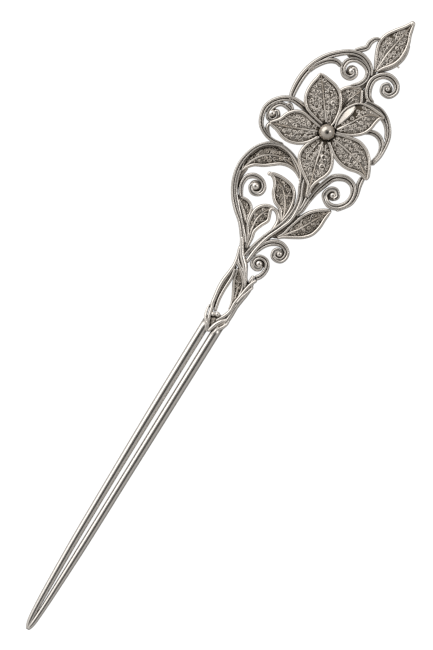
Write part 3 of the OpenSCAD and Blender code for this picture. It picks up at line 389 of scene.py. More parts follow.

# Places where the ground behind the filigree is deepest, and is darkened with tarnish and painted shade, as
# [x, y, radius]
hollows = [[2.5, 51.5, 0.6], [3, 52.9, 0.75], [3.6, 54.2, 0.9], [4, 55.4, 1.1], [4.3, 56.8, 1.1],
    [5.4, 56.8, 0.8], [2.6, 44.9, 0.7], [3.2, 43.7, 0.7], [3.95, 41.7, 0.7], [1.8, 46.2, 0.6],
    [2.4, 43.4, 0.6], [3.2, 45.8, 0.6], [3.8, 37.8, 0.6], [-0.5, 41.2, 0.6], [-6.5, 58.6, 0.7],
    [-2.6, 57.2, 0.6], [-1.3, 55.1, 0.7], [-5, 52.8, 0.5], [3.7, 47.4, 0.6], [4.7, 45.8, 0.6],
    [4.1, 78.2, 0.9], [5.2, 76.9, 0.7], [2.2, 74.7, 0.7], [6, 73.2, 0.6], [2, 69.4, 0.5], [-2.6, 48.6, 0.6],
    [-3.2, 45.4, 0.6], [-7.6, 44.6, 0.6]]

# Rings and granules soldered on the petals, and nubs at the tips of leaves, as [x, y, radius]
petal_rings = [[3.2, 43.7, 0.52], [3.95, 41.7, 0.55], [-1.3, 55.1, 0.42]]
petal_grains = [[-2.7, 57.7, 0.3], [-3, 57, 0.25], [-2.4, 56.5, 0.28], [-1.7, 56.2, 0.22], [3.4, 42.6, 0.24],
    [2.9, 44.6, 0.2], [4.4, 40.4, 0.22], [9.8, 46.6, 0.24], [-6.2, 47.7, 0.24], [-7.4, 46.6, 0.2],
    [7.6, 48.6, 0.2]]
leaf_nubs = [[-5.25, 34.45, 0.5], [4.6, 79.36, 0.66], [6.95, 69.5, 0.26]]

# Flower: its middle, the centre ball on its collar, and the hidden seat under the petals
flower = [0.85, 48.85]
ball_r = 1.8
ball_z = 3.75
collar_r = 1
collar_top = 2.6
seat_r = 3.1
seat_h = 1.88
seat_edge = 0.1

# Heights of the pieces, and of the petals' underside
loop_h = 1.75
scroll_h = 1.6
thin_h = 1.3
leaf_h = 1.25
petal_h = 1.15
petal_z = 1.95
recess_h = 0.6

# Legs and wires are round above and cut flat this far below their middle, in radii
leg_cut = 0.72
leg_sides = 24
wire_cut = 0.55
# A wire is cast this much wider than its route, and its ends run past it by this share of its width
wire_grow = 0.12
wire_reach = 0.3
# Worn crown of a wire: where it starts in radii, and the limit of its wear
crown_from = 0.62
crown_limit = 1.6
# From this width a wire is a twin: the first one's share of the width, the second one's height, and the
# turn at which the groove between them starts
twin_from = 0.95
twin_split = 0.55
twin_second = 0.88
twin_groove = 0.4
twin_sides = 9
# The shares of a coil's length between which its groove closes, and between which it widens
melt_span = (0.55, 0.8)
swell_span = (0.45, 0.8)
coil_swell = 0.26
# What is left of the height and of the squared width at a wire's very end
end_h = 0.35
end_w = 0.06
narrowest = 0.05

# Balls of the scrolls: height and swell in radii, and the brim and height of their cups
ball_lift = 0.95
ball_swell = 1.15
cup_w = 0.5
cup_h = 1.1

# Bed in the eye of the binding, dark with patina and painted shade
eye_bed_route = [[1.45, -1.3, 2.4], [1.4, 0, 4.6], [1.35, 0.5, 5]]

# Rims of leaves and petals: the width that their edge routes allow for, and the width as cast
rim_w = 0.62
petal_rim_w = 0.66
leaf_rim_w = 0.86
slim_rim_w = 0.7
petal_edge_w = 0.8
rim_overhang = 0.05
rim_reach = 0.35
# How much the left rim is slimmed beside the bright facet and inside the teardrop loop
slimmed = {"petal_2": 0.32, "crescent_leaf": 0.74}
# The crown leaf's right rim is doubled: it is moved in, and a low one lies outside it
crown_rim_inset = 0.42
crown_rim_w = 0.8

# Plates of leaves and petals: height, foot, rise at the midrib, dish, dip at the rim, margin at the ends, and
# how much the tarnish and painted shade of the hollows count
plate_h = 0.62
plate_foot = 0.08
rib_rise = 0.2
plate_dish = 0.1
rim_dip = 0.05
plate_margin = 0.012
tarnish_and_shade_depth = 2.6
# Midribs, side veins and long strands
rib_w = 0.5
petal_rib_w = 0.46
rib_h = 0.66
rib_z = 0.48
rib_taper = 0.45
vein_outs = (0.05, 0.3, 0.6, 0.86)
vein_radii = (0.12, 0.11, 0.1, 0.08)
vein_z = 0.12
vein_lean = 0.17
tube_sides = 6
strand_outs = ((0.16, 0.34), (0.5, 0.62))
strand_z = 0.14

# Filigree: the curls' spacing and radius, and the radii of their thread and of the granules
curl_step = 0.92
curl_r = 0.46
thread_r = 0.12
grain_r = 0.16
grain_step = 0.62
# How far filigree stays clear of midribs and edges, and how much finer it is on the slim leaves
rib_clear = 0.45
slim_rib_clear = 0.3
edge_clear = 0.56
slim_edge_clear = 0.42
petal_edge_clear = 0.54
crescent_edge_clear = 0.12
slim_fineness = 0.78
field_lift = 0.1
# Ground with more tarnish and painted shade than this stays bare
bare_from = 0.4

# Bright facet: its middle as [x, y, width], its turn and tilt by width, and its height over the petal
facet_line = [[1.85, 51, 0.3], [2.15, 52.4, 1.1], [2.45, 53.9, 1.7], [2.72, 55.4, 1.7], [2.95, 57, 0.6]]
facet_turn = 0.1
facet_tilt = 0.33
facet_z = 0.74


def knot(rows, i):
    """Row i of a route, or its first or last row beyond its ends"""
    return rows[max(0, min(len(rows) - 1, i))]


def along(rows, share):
    """The point at this share of a smooth curve through the rows, of any number of columns"""
    place = share * (len(rows) - 1)
    i = min(int(place), len(rows) - 2)
    around = [knot(rows, i + k) for k in (-1, 0, 1, 2)]
    t = place - i
    return [0.5 * (2 * q + (r - p) * t + (2 * p - 5 * q + 4 * r - o) * t * t
        + (3 * q - p - 3 * r + o) * t ** 3) for p, q, r, o in zip(*around)]


def smooth(rows, count):
    return [along(rows, k / count) for k in range(count + 1)]


def across(line, i):
    """Level direction that points to the right of a line at its point i"""
    a, b = knot(line, i - 1), knot(line, i + 1)
    x, y = b[0] - a[0], b[1] - a[1]
    size = hypot(x, y) or 1
    return y / size, -x / size


def ease(value, low, high):
    """0 at low, 1 at high and smooth between them, also where low is the greater"""
    t = max(0.0, min(1.0, (value - low) / (high - low)))
    return t * t * (3 - 2 * t)


def rise(least, share):
    """From least to 1 as the share goes from 0 to 1"""
    return least + (1 - least) * share


def disc(x, y, r, z, sides, relief):
    """A level ring of points for a skin"""
    turns = [2 * pi * j / sides for j in range(sides)]
    return [[x + r * cos(t), y + r * sin(t), z, relief] for t in turns]


def turns_over(cut, sides):
    """Turns round a circle whose foot is cut flat, from its left foot over the top to its right"""
    low = asin(cut)
    return [pi + low - k * (pi + 2 * low) / (sides - 1) for k in range(sides)]


def crown_drop(out):
    """How far a wire's worn crown drops from its crest to a share of its half width, in half widths"""
    return 0.27 * out + 0.5 * out * out


def wire_point(middle, half, top, t):
    """A point of a wire's outline: its place, height and crest in shares, and how far the crown may drop
    there, or None on the walls"""
    drop = None if sin(t) < crown_from else half * crown_drop(abs(cos(t)))
    return middle + half * cos(t), top * (sin(t) + wire_cut) / (1 + wire_cut), top, drop


def wire_section(sides):
    """Outline of a wire in shares of its width and height"""
    return [wire_point(0, 0.5, 1, t) for t in turns_over(wire_cut, sides)]


def twin_section():
    """Outline of two wires side by side with a groove between them"""
    low = asin(wire_cut)
    first = (twin_split / 2 - 0.5, twin_split / 2, 1.0, pi + low, twin_groove)
    second = (twin_split / 2, (1 - twin_split) / 2, twin_second, pi - twin_groove, -low)
    outline = []
    for middle, half, top, start, stop in (first, second):
        for k in range(twin_sides):
            t = start + (stop - start) * k / (twin_sides - 1)
            outline.append(wire_point(middle, half, top, t))
    return outline


# Outlines of a single wire, and of a fine strand with a sharp crest
single = wire_section(14)
ridge = [(x, z, 1, None) for x, z in ((-0.5, 0), (-0.46, 0.76), (0, 1), (0.46, 0.76), (0.5, 0))]


def mark(mesh, name, values):
    """Gives every point of a mesh a value that the silvers read"""
    mesh.attributes.new(name, "FLOAT", "POINT").data.foreach_set("value", values)


class Casting:
    """Points, faces and shine values of one piece. The shine value is 1 on a ridge, kept bright as polish,
    and lower down the sides and in hollows, where it is painted shade.
    """

    def __init__(self):
        self.points, self.relief, self.faces, self.soft = [], [], [], []

    def skin(self, rings, soft=True):
        """Closed skin over rings of [x, y, z, polish and painted shade value], with a cap at each end"""
        first, sides = len(self.points), len(rings[0])
        for ring in rings:
            for x, y, z, relief in ring:
                self.points.append((x * MM, y * MM, z * MM))
                self.relief.append(relief)
        for i in range(len(rings) - 1):
            for j in range(sides):
                a, b, k = first + i * sides, first + (i + 1) * sides, (j + 1) % sides
                self.faces.append((a + j, a + k, b + k, b + j))
        self.faces.append(tuple(first + j for j in range(sides - 1, -1, -1)))
        self.faces.append(tuple(first + (len(rings) - 1) * sides + j for j in range(sides)))
        self.soft += [soft] * (len(self.faces) - len(self.soft))

    def wire(self, route, high, low=0.0, steps=8, section=None, proud=1.0, grow=wire_grow,
            reach=wire_reach, coil=False):
        """A cast wire: round above, flat at the back, with rounded ends. Column 4 lifts its underside, and
        the groove of a coil closes towards its end."""
        if section is None:
            section = twin_section() if max(r[2] for r in route) >= twin_from else single
        line = smooth(route, (len(route) - 1) * steps)
        for i, step in ((0, -1), (len(line) - 1, 1)):
            side, r = across(line, i), line[i]
            line[i] = [r[0] - side[1] * step * r[2] * reach, r[1] + side[0] * step * r[2] * reach] + r[2:]
        run = [0.0]
        for a, b in zip(line, line[1:]):
            run.append(run[-1] + hypot(b[0] - a[0], b[1] - a[1]))
        rings = []
        for i, r in enumerate(line):
            end = min(run[i], run[-1] - run[i]) / (0.5 * max(r[2], narrowest))
            share = sqrt(max(end_w, 1 - (1 - min(1.0, end)) ** 2))
            width, height = (r[2] + grow) * share, high * rise(end_h, share)
            foot = low + (r[3] if len(r) > 3 else 0)
            side = across(line, i)
            melt = ease(i / len(line), *melt_span) if coil else 0
            ring = []
            for x, z, top, drop in section:
                if drop is not None:
                    z = top - min(drop * width / height, crown_limit * (top - z))
                z += melt * max(0, (sqrt(max(0, 1 - 4 * x * x)) + wire_cut) / (1 + wire_cut) - z)
                # Brightest on the crest and darker down the sides: polish on the crest, and painted shade on
                # the sides
                ring.append([r[0] + side[0] * x * width, r[1] + side[1] * x * width, foot + z * height,
                    proud * rise(0.1, ease(z, 0.35, 0.95))])
            rings.append(ring)
        self.skin(rings, soft=section is not ridge)

    def ball(self, x, y, z, r, sides=20, low=None):
        """A ball, cut flat below low"""
        rings = []
        for i in range(sides // 2 + 1):
            turn = pi * (0.02 + 0.96 * i / (sides // 2))
            level = max(z - r * cos(turn), z - r if low is None else low)
            # Bright on top and darker below: polish on top, and painted shade underneath
            relief = rise(0.3, ease(-cos(turn), -0.4, 0.6))
            rings.append(disc(x, y, r * sin(turn), level, sides, relief))
        self.skin(rings)

    def tube(self, path, radii):
        """A round strand along points in space"""
        turns = [-2 * pi * j / tube_sides for j in range(tube_sides)]
        rings = []
        for i, p in enumerate(path):
            ahead = (Vector(knot(path, i + 1)) - Vector(knot(path, i - 1))).normalized()
            flat = ahead.cross(Vector((0, 0, 1))).normalized()
            up = flat.cross(ahead)
            # Bright on top and darker below: polish on top, and painted shade underneath
            rings.append([list(Vector(p) + (flat * cos(t) + up * sin(t)) * radii[i])
                + [rise(0.35, ease(sin(t), -0.2, 0.9))] for t in turns])
        self.skin(rings)

    def finish(self, name, nodes, material):
        """The piece that stands for these nodes of the solid model, if it names any"""
        mesh = bpy.data.meshes.new(name)
        mesh.from_pydata(self.points, [], self.faces)
        mark(mesh, "relief", self.relief)
        mesh.polygons.foreach_set("use_smooth", self.soft)
        mesh.materials.append(material)
        piece(name, mesh, nodes)


made = []


def piece(name, mesh, nodes=()):
    """A finished piece, which rides on the root"""
    obj = linked(name, mesh)
    made.append(obj)
    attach(obj, "root")
    if nodes:
        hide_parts(*nodes)


# Pin legs: polished half-round rods that meet at the tip
legs = Casting()
turns = turns_over(leg_cut, leg_sides)
for route in (left_leg_route, right_leg_route):
    line = smooth(route, (len(route) - 1) * 8)
    rings = []
    for i, (x, y, width) in enumerate(line):
        side = across(line, i)
        # Bright on top and darker down the flanks: polish on top, and painted shade on the flanks
        rings.append([[x + side[0] * cos(t) / 2 * width, y + side[1] * cos(t) / 2 * width,
            (sin(t) + leg_cut) / 2 * width, rise(0.3, ease(sin(t), -0.5, 0.5))] for t in turns])
    legs.skin(rings)
legs.finish("pin_legs_polished", ("left_leg", "right_leg"), leg_silver)

# Scrollwork: each node with its wires as (route, height) and its ball as [x, y, radius]
scrollwork = {
    "neck_scroll": ([(neck_scroll_route, scroll_h)], [3.2, 16.1, 0.8]),
    "main_stem": ([(stem_left, loop_h), (stem_right, loop_h), (stem_fork, scroll_h)], None),
    "stem_scroll": ([(stem_scroll_route, scroll_h)], [5.9, 20.3, 0.72]),
    "right_scroll": ([(scroll_stem, loop_h), (scroll_post, scroll_h)], [9.3, 37.6, 0.75]),
    "teardrop_loop": ([(teardrop_outer, loop_h), (teardrop_inner, thin_h)], None),
    "loop_scroll": ([(loop_scroll_route, scroll_h)], [-6.5, 30.45, 0.88]),
    "left_loop": ([(left_loop_route, loop_h), (left_loop_inner, thin_h)], None),
    "left_scroll": ([(left_scroll_route, scroll_h), (left_twig, thin_h)], [-11.7, 46.2, 0.84]),
    "top_arc": ([(top_arc_route, loop_h), (arc_branch, scroll_h)], None),
    "crown_scroll_left": ([(crown_left_route, scroll_h)], [-1.45, 63.4, 0.8]),
    "crown_scroll_right": ([(crown_right_route, scroll_h)], [7.4, 64.1, 0.65]),
    "crown_twig": ([(twig_route, scroll_h)], None),
    "right_ring": ([(ring_outer, loop_h), (ring_inner, thin_h), (ring_arc, scroll_h)], None),
}
for node, (wires, ball) in scrollwork.items():
    cast = Casting()
    for k, (route, high) in enumerate(wires):
        coiled = bool(ball) and k == 0
        if coiled:
            last = len(route) - 1
            route = [[x, y, w + coil_swell * ease(i / last, *swell_span)]
                for i, (x, y, w) in enumerate(route)]
        cast.wire(route, high, coil=coiled or route is teardrop_outer)
    if ball:
        x, y, r = ball
        cast.ball(x, y, r * ball_lift, r * ball_swell, low=0.0)
        cast.skin([disc(x, y, r + cup_w, z, 24, 1.2) for z in (0, cup_h)])
    cast.finish(node + "_cast", (node,), wire_silver)

# Neck: outer and inner wires, the crossing band and the strands of the shaft
neck = Casting()
for route, high, low in ((neck_outer_left, loop_h, 0), (neck_inner_left, scroll_h, 0),
        (neck_cross_high, loop_h, 0.15), (neck_cross_low, scroll_h, 0.1), (neck_shaft_left, loop_h, 0.1),
        (neck_shaft_right, scroll_h, 0), (neck_shaft_cross, loop_h, 0.2), (neck_nib, scroll_h, 0)):
    neck.wire(route, high, low, section=single)
neck.ball(x=3.62, y=12.75, z=1.1, r=0.5)
neck.finish("neck_wires_cast", ("neck_wires",), wire_silver)

# Binding where the legs enter the head, the bed in its eye, dark with patina and painted shade, and the
# solder
binding = Casting()
for strand in binding_strands:
    binding.wire(strand, high=1, grow=0.2)
for x, y, r in binding_balls:
    binding.ball(x, y, 1.9 - r * 0.6, r)
binding.finish("binding_cast", ("binding",), wire_silver)
eye_bed = Casting()
eye_bed.wire(eye_bed_route, high=1.5, section=single)
eye_bed.finish("binding_bed", (), leaf_silver)
bed = Casting()
for route in recesses:
    bed.wire(route, recess_h, section=wire_section(10))
bed.finish("solder_bed", (), recess_silver)


def leaf_place(edges, side, out, share):
    """Place in plan on a leaf: out runs from 0 on the midrib to 1 on its edge"""
    edge, rib = along(edges[side], share), along(edges[1], share)
    return [rib[k] + (edge[k] - rib[k]) * out for k in (0, 1)]


def leaf_height(low, out, share):
    """Height of a leaf's plate, raised at the midrib and dished towards the rim"""
    dish = plate_dish * sin(pi * out) * sin(pi * share) - rim_dip * ease(out, 0.65, 0.9)
    return low + plate_h + rib_rise * (1 - out) ** 1.5 + dish


def tarnish_and_shade(x, y):
    """How much tarnish and painted shade darken the ground at this place, from 0 to 1"""
    return max(ease(hypot(x - a, y - b), r, 0.3 * r) for a, b, r in hollows)


def leaf_plate(name, edges, low, material):
    """Plate of a leaf or petal, with painted shade at its foot and towards its rim, and tarnish and painted
    shade in its hollows
    """
    rows, half = 40, 6
    places = [(0, 1 - k / half) for k in range(half)] + [(2, k / half) for k in range(half + 1)]
    rings = []
    for i in range(rows + 1):
        share = plate_margin + (1 - 2 * plate_margin) * i / rows
        ring = []
        for side, out in places:
            x, y = leaf_place(edges, side, out, share)
            # Painted shade at the foot near the flower's middle and towards the rim
            relief = (0.5 - 0.3 * ease(out, 0.65, 0.9)) * ease(share, 0.0, 0.3) - 0.4 * ease(share, 0.35, 0.0)
            ring.append([x, y, leaf_height(low, out, share), relief - tarnish_and_shade_depth * tarnish_and_shade(x, y)])
        for side in (2, 0):
            x, y = leaf_place(edges, side, 1, share)
            ring.append([x, y, low + plate_foot, 0])
        rings.append(ring)
    plate = Casting()
    plate.skin(rings)
    plate.finish(name + "_plate", (name,), material)


def leaf_rims(cast, name, edges, width, high, low, rim):
    """Rims of a leaf or petal, narrower at its foot and tip"""
    inset = (rim - width) / 2 - rim_overhang
    for side, turn in ((0, 1), (2, -1)):
        line = smooth(edges[side], (len(edges[side]) - 1) * 4)
        doubled = name == "crown_leaf" and side == 2
        route = []
        for i, (x, y) in enumerate(line):
            normal = across(line, i)
            share = i / (len(line) - 1)
            point, foot = ease(share, 0.9, 1.0), ease(share, 0.22, 0.0)
            shift = turn * inset * (1 - point)
            wide = rim * (1 - 0.45 * point - 0.4 * foot)
            if side == 0 and name in slimmed:
                slim = slimmed[name] * ease(share, 0, 0.15) * ease(share, 0.85, 0.65)
                wide, shift = wide - slim, shift - slim / 2 * turn
            if doubled:
                shift += crown_rim_inset * turn * ease(share, 0.02, 0.2) * ease(share, 0.8, 0.5)
            route.append([x + shift * normal[0], y + shift * normal[1], wide])
        if doubled:
            outer = [[x, y, crown_rim_w] for x, y in smooth(edges[side], 24)[1:18]]
            # This low outer rim gets about a third of the polish and painted shade value, which paints it
            # darker
            cast.wire(outer, high * 0.8, low, steps=2, section=single, proud=0.35, grow=0)
        cast.wire(route, high, low, steps=2, section=single, grow=0, reach=rim_reach)


def leaf_rib(cast, edges, low):
    last = len(edges[1]) - 1
    wide = petal_rib_w if low else rib_w
    rib = [[x, y, wide * (1 - rib_taper * k / last)] for k, (x, y) in enumerate(edges[1])]
    cast.wire(rib, rib_h, low + rib_z, section=ridge, grow=0, reach=0)


def leaf_veins(cast, name, edges, low, veins):
    """Side veins, which leave the bright facet free"""
    for k in range(veins):
        share = 0.12 + 0.62 * (k + 0.5) / veins
        for side in (0, 2):
            if name == "petal_2" and side == 0 and k < 2:
                continue
            path = []
            for out in vein_outs:
                x, y = leaf_place(edges, side, out, min(0.97, share + vein_lean * out ** 1.3))
                path.append((x, y, leaf_height(low, out, share) + vein_z))
            cast.tube(path, vein_radii)


def petal_strands(cast, name, edges, low):
    """Long strands that spread from a petal's foot"""
    steps = 8
    for side in (2,) if name == "petal_2" else (0, 2):
        for first, last in strand_outs:
            path = []
            for k in range(steps + 1):
                share = 0.06 + 0.5 * k / steps
                out = first + (last - first) * (k / steps) ** 1.5
                x, y = leaf_place(edges, side, out, share)
                path.append((x, y, leaf_height(low, out, share) + strand_z))
            cast.tube(path, [0.13 - 0.06 * k / steps for k in range(steps + 1)])


def cast_leaf(name, edges, width, high, low, rim, veins, material):
    """A leaf or petal: its plate, and its rims, midrib, veins and strands"""
    leaf_plate(name, edges, low, material)
    cast = Casting()
    leaf_rims(cast, name, edges, width, high, low, rim)
    leaf_rib(cast, edges, low)
    leaf_veins(cast, name, edges, low, veins)
    if material == petal_silver:
        petal_strands(cast, name, edges, low)
    cast.finish(name + "_rim", (name,), rim_silver)


def filigree_tree():
    """Curls and granules strewn over a field, each with its own turn and size"""
    tree = bpy.data.node_groups.new("filigree", "GeometryNodeTree")
    tree.is_modifier = True
    for name, kind in (("Field", "Geometry"), ("Spacing", "Float"), ("Curl Radius", "Float"),
            ("Thread", "Float"), ("Grain Radius", "Float"), ("Silver", "Material"), ("Seed", "Int")):
        tree.interface.new_socket(name, in_out="INPUT", socket_type="NodeSocket" + kind)
    tree.interface.new_socket("Filigree", in_out="OUTPUT", socket_type="NodeSocketGeometry")
    graph = Graph(tree)
    group = graph.add("NodeGroupInput")
    field, spacing, radius, thread, grain, metal, seed = (group.other(k) for k in range(7))
    spiral = graph.add("GeometryNodeCurveSpiral", None, Resolution=10, Rotations=1.35,
        Start_Radius=radius * 0.3, End_Radius=radius, Height=0.0)
    wire = graph.add("GeometryNodeCurvePrimitiveCircle", None, Resolution=6, Radius=thread)
    curl = graph.add("GeometryNodeCurveToMesh", None, spiral, wire, Fill_Caps=True)
    bead = graph.add("GeometryNodeMeshIcoSphere", None, Radius=grain, Subdivisions=2)

    def chance(low, high, number):
        """Another value from low to high at each point"""
        return graph.add("FunctionNodeRandomValue", {"data_type": "FLOAT"}, out=1, Min_001=low,
            Max_001=high, Seed=number)

    def strewn(shape, step, offset, low, high):
        """The shape at points a step apart, in sizes from low to high"""
        points = graph.add("GeometryNodeDistributePointsOnFaces", {"distribute_method": "POISSON"}, field,
            Distance_Min=step, Density_Max=4000000.0, Seed=seed + offset)
        twist = graph.add("ShaderNodeCombineXYZ", None, 0.0, 0.0, chance(0, 2 * pi, seed + offset))
        turn = graph.add("FunctionNodeRotateRotation", {"rotation_space": "LOCAL"}, points.other(2), twist)
        return graph.add("GeometryNodeInstanceOnPoints", None, points, Instance=shape, Rotation=turn,
            Scale=chance(low, high, seed + offset + 1))

    curls = strewn(curl, spacing, 0, 0.8, 1.2)
    grains = strewn(bead, spacing * grain_step, 7, 0.7, 1.25)
    joined = graph.add("GeometryNodeJoinGeometry", None, curls)
    tree.links.new(grains.socket, joined.socket.node.inputs[0])
    solid = graph.add("GeometryNodeRealizeInstances", None, joined)
    rounded = graph.add("GeometryNodeSetShadeSmooth", None, solid)
    cast = graph.add("GeometryNodeSetMaterial", None, rounded, Material=metal)
    graph.add("NodeGroupOutput", None, cast)
    return tree


strewing = filigree_tree()


def field_mesh(edges, low, inside, outside):
    """The part of a leaf's plate that filigree fills, clear of its midrib, both rims and the hollows"""
    rows, columns = 24, 4
    points, faces = [], []
    for side, clear in zip((0, 2), outside):
        first = len(points)
        for i in range(rows + 1):
            share = 0.05 + 0.9 * i / rows
            edge, rib = along(edges[side], share), along(edges[1], share)
            span = max(0.01, hypot(edge[0] - rib[0], edge[1] - rib[1]))
            inner, outer = min(0.5, inside / span), max(0.52, 1 - clear / span)
            for k in range(columns + 1):
                out = inner + (outer - inner) * k / columns
                x, y = leaf_place(edges, side, out, share)
                points.append((x * MM, y * MM, (leaf_height(low, out, share) + field_lift) * MM))
        for i in range(rows):
            for k in range(columns):
                a = first + i * (columns + 1) + k
                quad = (a, a + 1, a + columns + 2, a + columns + 1)
                if tarnish_and_shade(points[a][0] / MM, points[a][1] / MM) < bare_from:
                    faces.append(quad if side == 2 else quad[::-1])
    mesh = bpy.data.meshes.new("field")
    mesh.from_pydata(points, [], faces)
    return mesh


def filigree(name, edges, low, inside, outside, fineness, seed, material):
    """Curls and granules over a leaf or petal, brighter where they stand proud, with painted shade where they
    lie low
    """
    field = linked("field", field_mesh(edges, low, inside, outside))
    modifier = field.modifiers.new("filigree", "NODES")
    modifier.node_group = strewing
    values = {"Spacing": curl_step * fineness * MM, "Curl Radius": curl_r * fineness * MM,
        "Thread": thread_r * MM, "Grain Radius": grain_r * MM, "Silver": material, "Seed": seed}
    for item in strewing.interface.items_tree:
        if item.in_out == "INPUT" and item.name in values:
            modifier[item.identifier] = values[item.name]
    shaped = field.evaluated_get(bpy.context.evaluated_depsgraph_get())
    mesh = bpy.data.meshes.new_from_object(shaped)
    bpy.data.objects.remove(field)
    mesh.name = name + "_filigree"
    places = [0.0] * (3 * len(mesh.vertices))
    mesh.vertices.foreach_get("co", places)
    # Higher curls and granules are brighter: polish on the proud ones, and painted shade on the low ones
    mark(mesh, "relief", [ease(z / MM - low, 0.75, 1.15) for z in places[2::3]])
    piece(name + "_filigree", mesh)


leaves = {
    "neck_leaf": neck_leaf_edges, "right_leaf": right_leaf_edges, "crescent_leaf": crescent_leaf_edges,
    "bud_leaf": bud_leaf_edges, "small_leaf": small_leaf_edges, "large_leaf": large_leaf_edges,
    "crown_leaf": crown_leaf_edges, "back_leaf": back_leaf_edges}
petals = {
    "petal_1": petal_1_edges, "petal_2": petal_2_edges, "petal_3": petal_3_edges,
    "petal_4": petal_4_edges, "petal_5": petal_5_edges}
for seed, (name, edges) in enumerate(leaves.items()):
    slim = name in ("neck_leaf", "bud_leaf")
    metal = petal_silver if name in ("back_leaf", "crown_leaf") else leaf_silver
    cast_leaf(name, edges, rim_w, leaf_h, 0.0, slim_rim_w if slim else leaf_rim_w, 2 if slim else 3, metal)
    if slim:
        clear = (slim_edge_clear, slim_edge_clear)
        filigree(name, edges, 0.0, slim_rib_clear, clear, slim_fineness, 11 + seed, metal)
    else:
        clear = (crescent_edge_clear if name == "crescent_leaf" else edge_clear, edge_clear)
        filigree(name, edges, 0.0, rib_clear, clear, 1, 11 + seed, metal)
for seed, (name, edges) in enumerate(petals.items()):
    cast_leaf(name, edges, petal_rim_w, petal_h, petal_z, petal_edge_w, 3, petal_silver)
    clear = (petal_edge_clear, petal_edge_clear)
    filigree(name, edges, petal_z, rib_clear, clear, 1, 41 + seed, petal_silver)

# Rings and granules soldered on the petals, and nubs at the tips of leaves
trim = Casting()
turns = [2 * pi * j / 16 for j in range(17)]
for x, y, r in petal_rings:
    ring = [[x + r * cos(t), y + r * sin(t), 0.34] for t in turns]
    trim.wire(ring, high=0.5, low=petal_z + 0.68, steps=1, section=ridge, grow=0, reach=0)
for x, y, r in petal_grains:
    trim.ball(x, y, petal_z + 0.9, r, sides=12)
for x, y, r in leaf_nubs:
    trim.ball(x, y, 0.7, r, sides=14)
trim.finish("petal_trim", (), rim_silver)

# Smooth dished facet beside the rim of the right petal, which leans to the left and shines
facet = Casting()
rings = []
for x, y, wide in smooth(facet_line, 24):
    top = [[x - 0.5 * wide + wide * k / 6, y + facet_turn * wide * k / 6,
        petal_z + facet_z + facet_tilt * wide * k / 6, 0.3] for k in range(7)]
    rings.append(top + [[p[0], p[1], petal_z + 0.3, 0] for p in (top[-1], top[0])])
facet.skin(rings)
facet.finish("petal_2_facet", (), rim_silver)

# Curl at the small leaf's tip
curl = Casting()
curl.wire(small_leaf_curl, leaf_h)
curl.finish("small_leaf_curl_cast", ("small_leaf",), rim_silver)

# Flower seat with broken edges, centre ball and its collar. The seat and collar get little polish and painted
# shade value, so they are painted dark as shade under the petals and the ball.
seat = Casting()
seat.skin([disc(*flower, r, z, 48, 0.1) for r, z in ((seat_r - seat_edge, 0), (seat_r, seat_edge),
    (seat_r, seat_h - seat_edge), (seat_r - seat_edge, seat_h))])
seat.finish("flower_seat_cast", ("flower_seat",), wire_silver)
centre = Casting()
centre.ball(*flower, ball_z, ball_r, sides=48)
centre.skin([disc(*flower, collar_r, z, 32, 0.1) for z in (petal_z, collar_top)])
centre.finish("flower_ball_polished", ("flower_ball",), ball_silver)

# Openness: how many rays, the angle between them, how far they reach and how far off the surface they start
openness_rays = 14
golden_turn = 2.39996
ray_reach = 1.3
ray_start = 0.02


def measure_openness(pieces, rays):
    """Gives every point its openness: the share of short rays from it that meet no silver. The silvers paint
    closed places darker with it, as patina and as painted shade.
    """
    points, faces = [], []
    for obj in pieces:
        first = len(points)
        points += [v.co.copy() for v in obj.data.vertices]
        faces += [tuple(first + k for k in p.vertices) for p in obj.data.polygons]
    solid = BVHTree.FromPolygons(points, faces)
    aims = []
    for k in range(rays):
        up = sqrt((k + 0.5) / rays)
        flat = sqrt(1 - up * up)
        aims.append((flat * cos(k * golden_turn), flat * sin(k * golden_turn), up))
    for obj in pieces:
        openness = []
        for v in obj.data.vertices:
            n = v.normal
            side = n.orthogonal().normalized()
            other = n.cross(side)
            start = v.co + n * (ray_start * MM)
            free = 0
            for x, y, z in aims:
                if solid.ray_cast(start, side * x + other * y + n * z, ray_reach * MM)[0] is None:
                    free += 1
            openness.append(free / rays)
        mark(obj.data, "openness", openness)


measure_openness(made, openness_rays)

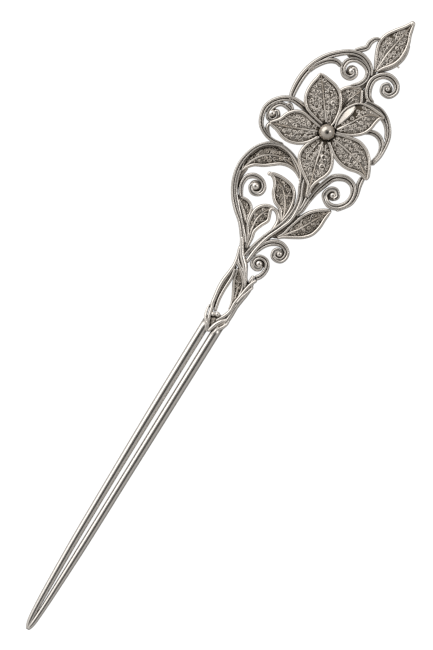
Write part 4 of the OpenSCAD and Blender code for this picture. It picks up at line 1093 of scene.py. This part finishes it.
# Pale floor, a little below the flat back
floor_z = -0.1
floor_half = 2000
floor_mesh = bpy.data.meshes.new("floor")
signs = ((-1, -1), (1, -1), (1, 1), (-1, 1))
corners = [(x * floor_half * MM, y * floor_half * MM, floor_z * MM) for x, y in signs]
floor_mesh.from_pydata(corners, [], [(0, 1, 2, 3)])
paper = bpy.data.materials.new("paper")
graph = fresh_graph(paper)
sheen = graph.add("ShaderNodeBsdfPrincipled", None, Base_Color=(0.3, 0.3, 0.3, 1), Roughness=0.9,
    Emission_Color=(1, 1, 1, 1), Emission_Strength=0.95)
graph.add("ShaderNodeOutputMaterial", None, sheen)
floor_mesh.materials.append(paper)
floor = linked("floor", floor_mesh)
floor.visible_glossy = False
floor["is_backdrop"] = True

# Soft studio light: a grey room, brighter on the key light's side, and darker overhead and below
room_light = 0.54
key_side = (-0.93, 0.37, 0)
key_side_light = 0.33
overhead_shade = 0.6
below_shade = 0.3
world = bpy.data.worlds.new("room")
bpy.context.scene.world = world
graph = fresh_graph(world)
way = graph.add("ShaderNodeTexCoord", out=0)
height = graph.add("ShaderNodeSeparateXYZ", None, way).other(2)
lean = graph.add("ShaderNodeVectorMath", {"operation": "DOT_PRODUCT"}, way, key_side, out=1)
strength = (room_light + key_side_light * lean.band(-0.6, 0.7) - height.band(0.78, 0.94) * overhead_shade
    - below_shade * (1 - height.band(-0.4, 0.3)))
backdrop = graph.add("ShaderNodeBackground", None, (1, 0.99, 0.97, 1), strength)
graph.add("ShaderNodeOutputWorld", None, backdrop)


def soft_box(name, right, up, height, size, power):
    """An area light that points at the head, placed by picture directions in metres"""
    light = bpy.data.lights.new(name, "AREA")
    light.shape, light.size, light.size_y = "RECTANGLE", size[0], size[1]
    light.energy = power
    obj = linked(name, light)
    obj.location = picture_right * right + picture_up * up + Vector((0, 0, height))
    obj.rotation_mode = "QUATERNION"
    obj.rotation_quaternion = obj.location.to_track_quat("Z", "Y")
    obj.visible_camera = False


soft_box("key", right=-0.35, up=0.46, height=0.32, size=(0.8, 0.56), power=1.7)
soft_box("side", right=0.5, up=0.12, height=0.42, size=(0.18, 0.18), power=0.35)

low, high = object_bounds()
